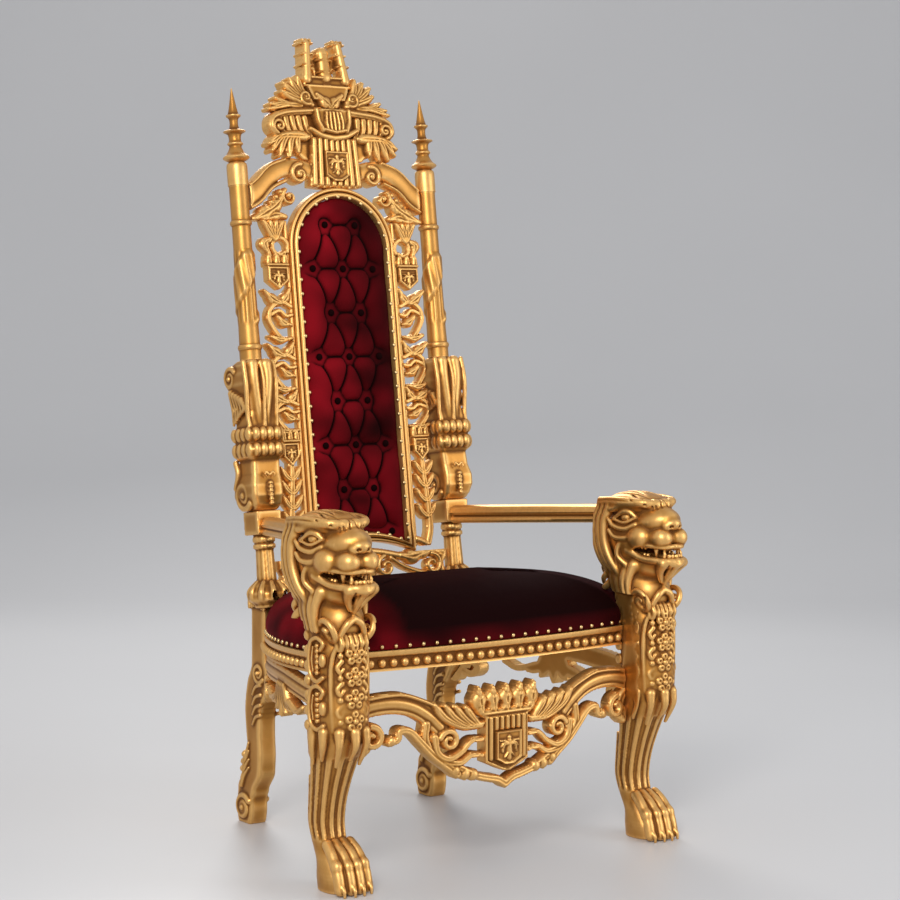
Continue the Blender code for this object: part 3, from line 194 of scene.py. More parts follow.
class Shader:
    """Builds one material's nodes."""

    def __init__(self, name: str) -> None:
        """Start a material with its Principled surface."""
        self.material = bpy.data.materials.new(name)
        self.material.use_nodes = True
        self.tree = self.material.node_tree
        self.surface = self.tree.nodes["Principled BSDF"]
        self.place = self.node("ShaderNodeTexCoord", {}, {}).outputs["Object"]

    def node(self, kind: str, settings: dict[str, object], values: dict[object, object]) -> bpy.types.Node:
        """Add a node.

        Args:
            kind: the node's type.
            settings: properties set before its sockets.
            values: numbers, colours, sockets or Numbers by socket name or index.

        Returns:
            The new node.
        """
        made = self.tree.nodes.new(kind)
        for key, value in settings.items():
            setattr(made, key, value)
        for key, value in values.items():
            self.feed(made.inputs[key], value)
        return made

    def feed(self, socket: bpy.types.NodeSocket, value: object) -> None:
        """Link or set one input socket."""
        if isinstance(value, Number):
            value = value.socket
        if isinstance(value, bpy.types.NodeSocket):
            self.tree.links.new(value, socket)
        else:
            socket.default_value = value

    def noise(self, scale: float, detail: float = 3.0, stretch: Point = (1.0, 1.0, 1.0)) -> Number:
        """Soft noise on the piece's own coordinates."""
        where = self.node("ShaderNodeMapping", {}, {"Vector": self.place, "Scale": stretch}).outputs[0]
        made = self.node("ShaderNodeTexNoise", {}, {"Vector": where, "Scale": scale, "Detail": detail})
        return Number(self, made.outputs[0])

    def attribute(self, name: str) -> Number:
        """A number stored on the mesh."""
        return Number(self, self.node("ShaderNodeAttribute", {"attribute_name": name}, {}).outputs["Fac"])

    def mix(self, share: object, low: object, high: object) -> bpy.types.NodeSocket:
        """Blend two colours."""
        made = self.node("ShaderNodeMix", {"data_type": "RGBA"}, {0: share, 6: low, 7: high})
        return made.outputs[2]

    def bump(self, height: Number, distance: float, strength: float = 1.0) -> None:
        """Raise the surface by a height field."""
        made = self.node("ShaderNodeBump", {}, {"Height": height, "Distance": distance, "Strength": strength})
        self.feed(self.surface.inputs["Normal"], made.outputs[0])

    def set(self, values: dict[str, object]) -> None:
        """Set sockets of the surface."""
        for key, value in values.items():
            self.feed(self.surface.inputs[key], value)


@dataclass(frozen=True)
class Gilding:
    """Antique gold paint, rubbed bright on the edges over a dark brown glaze."""

    name: str = "gilding"
    bright: Point = (0.80, 0.47, 0.160, 1.0)
    body: Point = (0.58, 0.285, 0.070, 1.0)
    shade: Point = (0.44, 0.195, 0.038, 1.0)
    glaze: Point = (0.130, 0.042, 0.006, 1.0)

    def make(self) -> bpy.types.Material:
        """Build the finish."""
        shader = Shader(self.name)
        hollow = shader.attribute("hollow")
        crest = shader.attribute("crest")
        cloud = shader.noise(14.0, 4.0)
        grain = shader.noise(160.0, 3.0, (1.0, 1.0, 0.35))
        speck = shader.noise(420.0, 2.0)
        patina = ((cloud - 0.42) * 2.4).clamp()
        tone = shader.mix(patina, self.shade, self.body)
        worn = (crest * (0.55 + 0.6 * grain)).clamp()
        tone = shader.mix(worn, tone, self.bright)
        dirt = (hollow * 0.90 + (speck - 0.62) * 0.4).clamp()
        shader.set({
            "Base Color": shader.mix(dirt, tone, self.glaze),
            "Metallic": 0.88 - 0.30 * dirt,
            "Roughness": 0.33 + 0.14 * grain + 0.20 * dirt,
            "Specular IOR Level": 0.3,
        })
        shader.bump(grain * 0.6 + speck * 0.4, 0.0006, 0.35)
        return shader.material


@dataclass(frozen=True)
class Velvet:
    """Crimson pile with painted light: lit crimson where a stored mask paints light, near black elsewhere, and painted
    shade in its hollows.
    """

    name: str = "velvet"
    lit: Point = (0.215, 0.0040, 0.009, 1.0)
    dark: Point = (0.0060, 0.0006, 0.0007, 1.0)

    def make(self) -> bpy.types.Material:
        """Build the finish."""
        shader = Shader(self.name)
        # Painted light: the stored per-vertex mask, broken up by soft noise for random nap variation, picks lit crimson
        # over near black.
        painted_light = ((shader.noise(7.0, 1.0, (1.0, 1.0, 1.6)) - 0.22) * 1.9).clamp() * shader.attribute("painted_light")
        pile = shader.noise(1500.0, 2.0)
        # Painted shade: the hollows of dimples, pleats and creases go near black.
        crease_shade = shader.attribute("hollow")
        tone = shader.mix(painted_light, self.dark, self.lit)
        shader.set({
            "Base Color": shader.mix((crease_shade * 1.1).clamp(), tone, self.dark),
            "Roughness": 0.82 + 0.1 * pile,
            "Sheen Weight": 0.03,
            "Sheen Roughness": 0.32,
            "Sheen Tint": (0.75, 0.06, 0.10, 1.0),
            "Specular IOR Level": 0.04,
        })
        shader.bump(pile, 0.0004, 0.4)
        return shader.material


@dataclass(frozen=True)
class Brass:
    """Polished nail heads."""

    name: str = "brass_nails"

    def make(self) -> bpy.types.Material:
        """Build the finish."""
        shader = Shader(self.name)
        scuff = shader.noise(300.0, 2.0)
        shader.set({
            "Base Color": shader.mix(scuff, (0.80, 0.60, 0.30, 1.0), (0.58, 0.38, 0.15, 1.0)),
            "Metallic": 1.0,
            "Roughness": 0.22 + 0.2 * scuff,
        })
        return shader.material


@dataclass(frozen=True)
class Paper:
    """Pale studio floor."""

    name: str = "studio_floor"

    def make(self) -> bpy.types.Material:
        """Build the finish."""
        shader = Shader(self.name)
        cloud = shader.noise(0.8, 2.0)
        shader.set({
            "Base Color": shader.mix(cloud, (0.52, 0.52, 0.53, 1.0), (0.55, 0.55, 0.56, 1.0)),
            "Roughness": 0.42,
        })
        return shader.material


class Workshop:
    """Finishes and small services that every piece uses."""

    def __init__(self) -> None:
        """Mix the finishes."""
        self.gold = Gilding().make()
        self.velvet = Velvet().make()
        self.brass = Brass().make()
        self.paper = Paper().make()

    def piece(self, name: str, mesh: bpy.types.Mesh, finish: bpy.types.Material, slot: str,
              nodes: Sequence[str] = ()) -> bpy.types.Object:
        """Link a finished mesh, ride it on the throne and hide the solids that it replaces.

        Args:
            name: the piece's name.
            mesh: its mesh in the throne's frame.
            finish: its material.
            slot: not used.
            nodes: the solids that it replaces.

        Returns:
            The new object.
        """
        mesh.materials.clear()
        mesh.materials.append(finish)
        made = bpy.data.objects.new(name, mesh)
        bpy.context.scene.collection.objects.link(made)
        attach(made, "root")
        if nodes:
            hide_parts(*nodes)
        LOG.info("%s: %d faces", name, len(mesh.polygons))
        return made

    def carved(self, name: str, mesh: bpy.types.Mesh, nodes: Sequence[str] = (), reach: float = 0.0016) -> bpy.types.Object:
        """Shade and gild a carving, with its hollows glazed and its crests rubbed."""
        mark_glaze_and_shade(mesh, reach)
        return self.piece(name, mesh, self.gold, "gilding", nodes)


def mark_glaze_and_shade(mesh: bpy.types.Mesh, reach: float) -> None:
    """Store how hollow and how proud each vertex is: the gilding glazes its hollows and rubs its proud edges bright,
    and the velvet takes the hollows as painted shade.

    Args:
        mesh: a closed mesh.
        reach: the depth, in metres, that counts as fully hollow.
    """
    count = len(mesh.vertices)
    spots = np.empty(count * 3, np.float32)
    mesh.vertices.foreach_get("co", spots)
    spots = spots.reshape(-1, 3).astype(float)
    ends = np.empty(len(mesh.edges) * 2, np.int32)
    mesh.edges.foreach_get("vertices", ends)
    ends = ends.reshape(-1, 2)
    normals = np.empty(count * 3, np.float32)
    mesh.vertex_normals.foreach_get("vector", normals)
    normals = normals.reshape(-1, 3)
    both = np.concatenate([ends[:, 0], ends[:, 1]])
    other = np.concatenate([ends[:, 1], ends[:, 0]])
    valence = np.maximum(np.bincount(both, minlength=count), 1)[:, None]
    soft = spots
    depth = np.zeros(count)
    for stage in (2, 4, 8):
        for _ in range(stage):
            soft = np.stack([np.bincount(both, soft[other, axis], count) for axis in range(3)], axis=1) / valence
        depth += np.einsum("ij,ij->i", soft - spots, normals) / reach
    for name, value in (("hollow", depth), ("crest", -depth)):
        layer = mesh.attributes.new(name, "FLOAT", "POINT")
        layer.data.foreach_set("value", np.clip(value, 0.0, 1.0).astype(np.float32))


def brush(mesh: bpy.types.Mesh, amount: Callable[[Array], Array]) -> None:
    """Store how much painted light falls on the pile at each vertex."""
    spots = np.array([vertex.co[:] for vertex in mesh.vertices])
    layer = mesh.attributes.new("painted_light", "FLOAT", "POINT")
    layer.data.foreach_set("value", np.asarray(amount(spots), np.float32))


def mesh_of(name: str, spots: Array, faces: Iterable[Sequence[int]], sharp: float = 60.0) -> bpy.types.Mesh:
    """Make a smooth-shaded mesh with outward faces.

    Args:
        name: the mesh's name.
        spots: rows of x, y, z.
        faces: vertex indices of each face.
        sharp: edges steeper than this many degrees stay crisp.

    Returns:
        The mesh.
    """
    mesh = bpy.data.meshes.new(name)
    mesh.from_pydata(np.asarray(spots, float).tolist(), [], faces)
    return closed(mesh, sharp)


def closed(mesh: bpy.types.Mesh, sharp: float = 60.0) -> bpy.types.Mesh:
    """Turn a mesh's faces outwards and shade it smooth up to an angle."""
    work = bmesh.new()
    work.from_mesh(mesh)
    if work.calc_volume(signed=True) < 0.0:
        bmesh.ops.reverse_faces(work, faces=work.faces)
    work.to_mesh(mesh)
    work.free()
    mesh.shade_smooth()
    mesh.set_sharp_from_angle(angle=math.radians(sharp))
    return mesh


def mirrored(mesh: bpy.types.Mesh, name: str) -> bpy.types.Mesh:
    """A copy of a mesh for the other side of the throne."""
    other = mesh.copy()
    other.name = name
    other.transform(Matrix.Scale(-1.0, 4, Vector((1.0, 0.0, 0.0))))
    other.flip_normals()
    return other


def through(points: Sequence[Point], steps: int = 8) -> Array:
    """A smooth path through a few points.

    Args:
        points: the points, in two or three dimensions.
        steps: samples between neighbours.

    Returns:
        Rows of samples on a Catmull-Rom curve.
    """
    knots = np.array(points, float)
    knots = np.vstack([2 * knots[0] - knots[1], knots, 2 * knots[-1] - knots[-2]])
    share = np.linspace(0.0, 1.0, steps, endpoint=False)[:, None]
    path = []
    for a, b, c, d in zip(knots, knots[1:], knots[2:], knots[3:]):
        path.append(0.5 * (2 * b + (c - a) * share + (2 * a - 5 * b + 4 * c - d) * share**2
                           + (3 * b - a - 3 * c + d) * share**3))
    return np.vstack([*path, knots[-2]])


def spiral(centre: Point, radius: float, start: float, turns: float, inner: float = 0.25) -> Array:
    """A volute from its outer end inwards; degrees, turns positive anticlockwise."""
    share = np.linspace(0.0, 1.0, 26)
    angle = math.radians(start) + share * turns * math.tau
    reach = radius * (1.0 - (1.0 - inner) * share)
    return np.stack([centre[0] + reach * np.cos(angle), centre[1] + reach * np.sin(angle)], axis=1)


class Relief:
    """A pierced, carved board on a fine grid, drawn in its own plane."""

    def __init__(self, low: Point, high: Point, step: float, twin: bool = False) -> None:
        """Lay out the grid.

        Args:
            low: lowest corner.
            high: highest corner.
            step: grid spacing.
            twin: draw the right half only and mirror it.
        """
        first = 0.5 * step if twin else low[0]
        self.twin = twin
        self.step = step
        self.u, self.v = np.meshgrid(np.arange(first, high[0] + step, step), np.arange(low[1], high[1] + step, step),
                                     indexing="ij")
        self.inside = np.full(self.u.shape, -1.0)
        self.height = np.full(self.u.shape, -1.0)

    def window(self, path: Array, reach: float) -> tuple[slice, slice]:
        """Grid rows and columns near a path."""
        low = path.min(axis=0) - reach
        high = path.max(axis=0) + reach
        u0, v0 = self.u[0, 0], self.v[0, 0]
        spans = []
        for start, end, origin in ((low[0], high[0], u0), (low[1], high[1], v0)):
            spans.append(slice(max(int((start - origin) / self.step), 0), max(int((end - origin) / self.step) + 2, 0)))
        return spans[0], spans[1]

    def add(self, where: tuple[slice, slice], inside: Array, height: Array) -> None:
        """Merge one shape, keeping the highest carving."""
        held = inside > 0.0
        self.inside[where] = np.maximum(self.inside[where], inside)
        self.height[where] = np.where(held, np.maximum(self.height[where], height), self.height[where])

    def along(self, path: Array, radii: Array) -> tuple[tuple[slice, slice], Array, Array, Array]:
        """Find where grid points lie along a tapered path.

        Args:
            path: rows of samples.
            radii: half-width at each sample.

        Returns:
            The window, the depth inside, the signed share of the half-width, and the share of the length.
        """
        where = self.window(path, float(np.max(radii)))
        u, v = self.u[where], self.v[where]
        depth = np.full(u.shape, -1.0)
        across = np.ones(u.shape)
        share = np.zeros(u.shape)
        for k, (start, end) in enumerate(zip(path, path[1:])):
            run = end - start
            length = max(float(run @ run), 1e-12)
            t = np.clip(((u - start[0]) * run[0] + (v - start[1]) * run[1]) / length, 0.0, 1.0)
            off_u, off_v = u - start[0] - t * run[0], v - start[1] - t * run[1]
            distance = np.hypot(off_u, off_v)
            radius = radii[k] + (radii[k + 1] - radii[k]) * t
            nearer = radius - distance > depth
            depth = np.where(nearer, radius - distance, depth)
            across = np.where(nearer, np.sign(run[0] * off_v - run[1] * off_u) * distance / radius, across)
            share = np.where(nearer, (k + t) / (len(path) - 1), share)
        return where, depth, np.clip(across, -1.0, 1.0), share

    def stroke(self, points: Sequence[Point] | Array, start: float, end: float, rise: float, level: float = 0.0,
               ribs: int = 0) -> None:
        """A rounded band along a path, with lengthwise ribs if asked."""
        path = points if isinstance(points, np.ndarray) else through(points)
        where, inside, across, _ = self.along(path, np.linspace(start, end, len(path)))
        height = level + rise * np.sqrt(1.0 - across**2)
        if ribs:
            height -= 0.0026 * np.abs(np.sin(0.5 * math.pi * ribs * (across + 1.0))) ** 6
        self.add(where, inside, height)

    def leaf(self, points: Sequence[Point], width: float, rise: float, level: float = 0.0, lobes: int = 3) -> None:
        """An acanthus leaf: swelling, lobed, pointed, with a midrib and veins."""
        path = through(points)
        share = np.linspace(0.0, 1.0, len(path))
        swell = np.sin(math.pi * np.clip(share, 0.04, 0.96) ** 0.8) ** 0.6
        radii = width * swell * (1.0 + 0.20 * np.cos(math.tau * lobes * share)) + 0.0018
        where, inside, across, t = self.along(path, radii)
        height = level + rise * np.sqrt(1.0 - across**2)
        height -= 0.0022 * np.exp(-((across / 0.14) ** 2)) * np.sin(math.pi * np.clip(t, 0.0, 1.0)) ** 0.5
        veins = np.abs(np.sin(math.pi * (2.2 * lobes * t + 1.1 * np.abs(across)))) ** 8
        self.add(where, inside, height - 0.0014 * veins * np.abs(across))

    def disc(self, centre: Point, radius: float, rise: float, level: float = 0.0) -> None:
        """A bead or the eye of a volute."""
        where = self.window(np.array([centre]), radius)
        share = np.hypot(self.u[where] - centre[0], self.v[where] - centre[1]) / radius
        self.add(where, radius * (1.0 - share), level + rise * np.sqrt(np.clip(1.0 - share**2, 0.0, 1.0)))

    def sides(self, corners: Sequence[Point]) -> Array:
        """Depth inside a convex outline whose corners run anticlockwise."""
        inside = np.full(self.u.shape, 1.0)
        for (u0, v0), (u1, v1) in zip(corners, [*corners[1:], corners[0]]):
            length = math.hypot(u1 - u0, v1 - v0)
            inside = np.minimum(inside, ((u1 - u0) * (self.v - v0) - (v1 - v0) * (self.u - u0)) / length)
        return inside

    def panel(self, corners: Sequence[Point], level: float, rim: float = 0.0, sunk: float = 0.0) -> None:
        """A flat convex field, with a raised rim round a sunk middle if asked."""
        inside = self.sides(corners)
        height = np.full(self.u.shape, level)
        if rim:
            height = level - sunk * np.clip((inside - rim) / 0.0012, 0.0, 1.0)
        self.add((slice(None), slice(None)), inside, height)

    def carve(self, points: Sequence[Point] | Array, radius: float, depth: float) -> None:
        """Cut a V along a path into what is already there."""
        path = points if isinstance(points, np.ndarray) else through(points)
        where, inside, _, _ = self.along(path, np.full(len(path), radius))
        self.height[where] -= depth * np.clip(inside / radius, 0.0, 1.0)

    def pierce(self, centre: Point, half_u: float, half_v: float) -> None:
        """Cut an oval hole."""
        share = np.hypot((self.u - centre[0]) / half_u, (self.v - centre[1]) / half_v)
        self.keep((share - 1.0) * min(half_u, half_v))

    def keep(self, inside: Array) -> None:
        """Trim the board to a line."""
        self.inside = np.minimum(self.inside, inside)

    def board(self, name: str, thickness: float, place: Callable[[Array, Array, Array], Array]) -> bpy.types.Mesh:
        """Turn the drawing into a closed mesh with rounded front edges.

        Args:
            name: the mesh's name.
            thickness: of the ground under the carving.
            place: gives x, y, z rows for grid u, v and depth above the back.

        Returns:
            The mesh.
        """
        u, v, inside, height = self.u, self.v, self.inside, np.maximum(self.height, 0.0)
        if self.twin:
            u = np.vstack([-u[::-1], u])
            v, inside, height = (np.vstack([part[::-1], part]) for part in (v, inside, height))
        front = thickness + height - 0.0030 * (1.0 - np.clip(inside / 0.0035, 0.0, 1.0)) ** 2
        solid = inside > 0.0
        number = np.cumsum(solid.ravel()).reshape(solid.shape) - 1
        spots = [np.stack([u[solid], v[solid], front[solid]], axis=1)]
        total = int(solid.sum())
        crossings = []
        for axis in (0, 1):
            ends = [slice(None), slice(None)]
            ends[axis] = slice(0, -1)
            starts_at = tuple(ends)
            ends[axis] = slice(1, None)
            ends_at = tuple(ends)
            cut = solid[starts_at] != solid[ends_at]
            a, b = inside[starts_at][cut], inside[ends_at][cut]
            t = np.clip(a / (a - b), 0.1, 0.9)
            low = np.stack([part[starts_at][cut] for part in (u, v, front)], axis=1)
            high = np.stack([part[ends_at][cut] for part in (u, v, front)], axis=1)
            middle = low + t[:, None] * (high - low)
            middle[:, 2] = np.where(a > 0.0, low[:, 2], high[:, 2]) - 0.0006
            index = np.full(inside.shape, -1)
            index[starts_at][cut] = total + np.arange(cut.sum())
            total += int(cut.sum())
            crossings.append(index)
            spots.append(middle)
        flat = np.vstack(spots)
        codes = [number[:-1, :-1], number[1:, :-1], number[1:, 1:], number[:-1, 1:],
                 crossings[0][:-1, :-1], crossings[1][1:, :-1], crossings[0][:-1, 1:], crossings[1][:-1, :-1]]
        held = [solid[:-1, :-1], solid[1:, :-1], solid[1:, 1:], solid[:-1, 1:]]
        case = sum(part.astype(int) << k for k, part in enumerate(held))
        faces: list[list[int]] = []
        for pattern in range(1, 16):
            here = case == pattern
            if not here.any():
                continue
            walk = []
            for k in range(4):
                inner, outer = pattern >> k & 1, pattern >> (k + 1) % 4 & 1
                if inner:
                    walk.append(k)
                if inner != outer:
                    walk.append(4 + k)
            ids = np.stack([codes[k][here] for k in walk], axis=1)
            faces.extend(ids.tolist())
            faces.extend((ids[:, ::-1] + total).tolist())
            for k, code in enumerate(walk):
                after = walk[(k + 1) % len(walk)]
                if code >= 4 and after >= 4:
                    a, b = codes[code][here], codes[after][here]
                    faces.extend(np.stack([b, a, a + total, b + total], axis=1).tolist())
        back = flat.copy()
        back[:, 2] = 0.0
        every = np.vstack([flat, back])
        return mesh_of(name, place(every[:, 0], every[:, 1], every[:, 2]), faces)


def eagle(work: Relief, middle: float, centre: float, size: float, level: float) -> None:
    """A heraldic bird with its wings spread, in the common form."""
    work.stroke([(middle, centre + 0.55 * size), (middle, centre - 0.35 * size)], 0.22 * size, 0.30 * size, 0.005, level)
    work.disc((middle, centre + 0.80 * size), 0.20 * size, 0.005, level)
    for side in (-1, 1):
        for k in range(3):
            bend = (middle + side * 0.55 * size, centre + (0.55 - 0.18 * k) * size)
            tip = (middle + side * (0.98 - 0.12 * k) * size, centre + (0.55 - 0.48 * k) * size)
            work.stroke([(middle, centre + 0.25 * size), bend, tip], 0.15 * size, 0.08 * size, 0.005, level)
        foot = (middle + side * 0.50 * size, centre - 0.85 * size)
        work.stroke([(middle, centre - 0.30 * size), foot], 0.13 * size, 0.07 * size, 0.005, level)
    work.stroke([(middle, centre - 0.35 * size), (middle, centre - 0.95 * size)], 0.16 * size, 0.22 * size, 0.005, level)


class Volume:
    """A block of wood on a fine grid of points, carved by adding and cutting rounded shapes."""

    def __init__(self, low: Point, high: Point, step: float) -> None:
        """Start with an empty block between two corners."""
        self.low = np.array(low)
        self.step = step
        axes = [np.arange(a, b + step, step) for a, b in zip(low, high)]
        self.axes = [axes[0][:, None, None], axes[1][None, :, None], axes[2][None, None, :]]
        self.field = np.full([len(axis) for axis in axes], 1.0, np.float32)

    def window(self, low: Array, high: Array) -> tuple[slice, ...]:
        """Grid range between two corners."""
        return tuple(
            slice(max(int((a - origin) / self.step), 0), max(int((b - origin) / self.step) + 2, 0))
            for a, b, origin in zip(low, high, self.low)
        )

    def local(self, where: tuple[slice, ...]) -> list[Array]:
        """Coordinates of the points in a window."""
        return [self.axes[0][where[0]], self.axes[1][:, where[1]], self.axes[2][:, :, where[2]]]

    def merge(self, where: tuple[slice, ...], field: Array, soft: float) -> None:
        """Add a shape with a soft fillet."""
        old = self.field[where]
        blend = np.clip(0.5 + 0.5 * (old - field) / soft, 0.0, 1.0)
        self.field[where] = old + (field - old) * blend - soft * blend * (1.0 - blend)

    def cut(self, where: tuple[slice, ...], field: Array, soft: float) -> None:
        """Take a shape away with a soft edge."""
        old = self.field[where]
        blend = np.clip(0.5 - 0.5 * (old + field) / soft, 0.0, 1.0)
        self.field[where] = old + (-field - old) * blend + soft * blend * (1.0 - blend)

    def ball(self, centre: Point, radii: Point, turn: float = 0.0, soft: float = 0.006, away: bool = False) -> None:
        """Add or cut an ellipsoid, tilted about X by degrees."""
        spot = np.array(centre)
        reach = np.array([radii[0], max(radii[1:]), max(radii[1:])]) + 2.0 * soft
        where = self.window(spot - reach, spot + reach)
        x, y, z = self.local(where)
        cos, sin = math.cos(math.radians(turn)), math.sin(math.radians(turn))
        dy, dz = y - centre[1], z - centre[2]
        share = np.sqrt(((x - centre[0]) / radii[0]) ** 2 + ((cos * dy + sin * dz) / radii[1]) ** 2
                        + ((cos * dz - sin * dy) / radii[2]) ** 2)
        field = (share - 1.0) * min(radii)
        (self.cut if away else self.merge)(where, field, soft)

    def rope(self, points: Sequence[Point], start: float, end: float, soft: float = 0.003, away: bool = False,
             steps: int = 6) -> None:
        """Add or cut a tapered round bar along a smooth path."""
        path = through(points, steps)
        radii = np.linspace(start, end, len(path))
        reach = max(start, end) + 2.0 * soft
        where = self.window(path.min(axis=0) - reach, path.max(axis=0) + reach)
        x, y, z = self.local(where)
        field = np.full(self.field[where].shape, 1.0)
        for k, (a, b) in enumerate(zip(path, path[1:])):
            run = b - a
            length = max(float(run @ run), 1e-12)
            t = np.clip(((x - a[0]) * run[0] + (y - a[1]) * run[1] + (z - a[2]) * run[2]) / length, 0.0, 1.0)
            distance = np.sqrt((x - a[0] - t * run[0]) ** 2 + (y - a[1] - t * run[1]) ** 2 + (z - a[2] - t * run[2]) ** 2)
            field = np.minimum(field, distance - radii[k] - (radii[k + 1] - radii[k]) * t)
        (self.cut if away else self.merge)(where, field, soft)

    def mesh(self, name: str, sharp: float = 60.0) -> bpy.types.Mesh:
        """Wrap the wood's surface in faces."""
        field = self.field
        below = field < 0.0
        cells = np.zeros([size - 1 for size in field.shape], int)
        weight = np.zeros(cells.shape, np.float32)
        sums = np.zeros([*cells.shape, 3], np.float32)
        cuts = []
        for axis in range(3):
            low = [slice(None)] * 3
            high = [slice(None)] * 3
            low[axis], high[axis] = slice(0, -1), slice(1, None)
            a, b = field[tuple(low)], field[tuple(high)]
            crossed = np.argwhere(below[tuple(low)] != below[tuple(high)])
            at = tuple(crossed.T)
            spot = crossed.astype(np.float32)
            spot[:, axis] += a[at] / (a[at] - b[at])
            others = [k for k in range(3) if k != axis]
            for i in (0, 1):
                for j in (0, 1):
                    cell = crossed.copy()
                    cell[:, others[0]] -= i
                    cell[:, others[1]] -= j
                    keep = ((cell >= 0) & (cell < np.array(cells.shape))).all(axis=1)
                    target = tuple(cell[keep].T)
                    np.add.at(weight, target, 1.0)
                    np.add.at(sums, target, spot[keep])
            cuts.append((crossed, below[tuple(low)][at], others))
        used = weight > 0.0
        cells[used] = np.arange(used.sum())
        spots = sums[used] / weight[used][:, None] * self.step + self.low
        faces = []
        for axis, (crossed, inward, others) in enumerate(cuts):
            corner = []
            for i, j in ((0, 0), (1, 0), (1, 1), (0, 1)):
                cell = crossed.copy()
                cell[:, others[0]] -= i
                cell[:, others[1]] -= j
                corner.append(cell)
            fits = np.all([((cell >= 0) & (cell < np.array(cells.shape))).all(axis=1) for cell in corner], axis=0)
            quads = np.stack([cells[tuple(cell[fits].T)] for cell in corner], axis=1)
            flip = inward[fits] != (axis == 1)
            quads[flip] = quads[flip][:, ::-1]
            faces.append(quads)
        return mesh_of(name, spots, np.vstack(faces).tolist(), sharp)


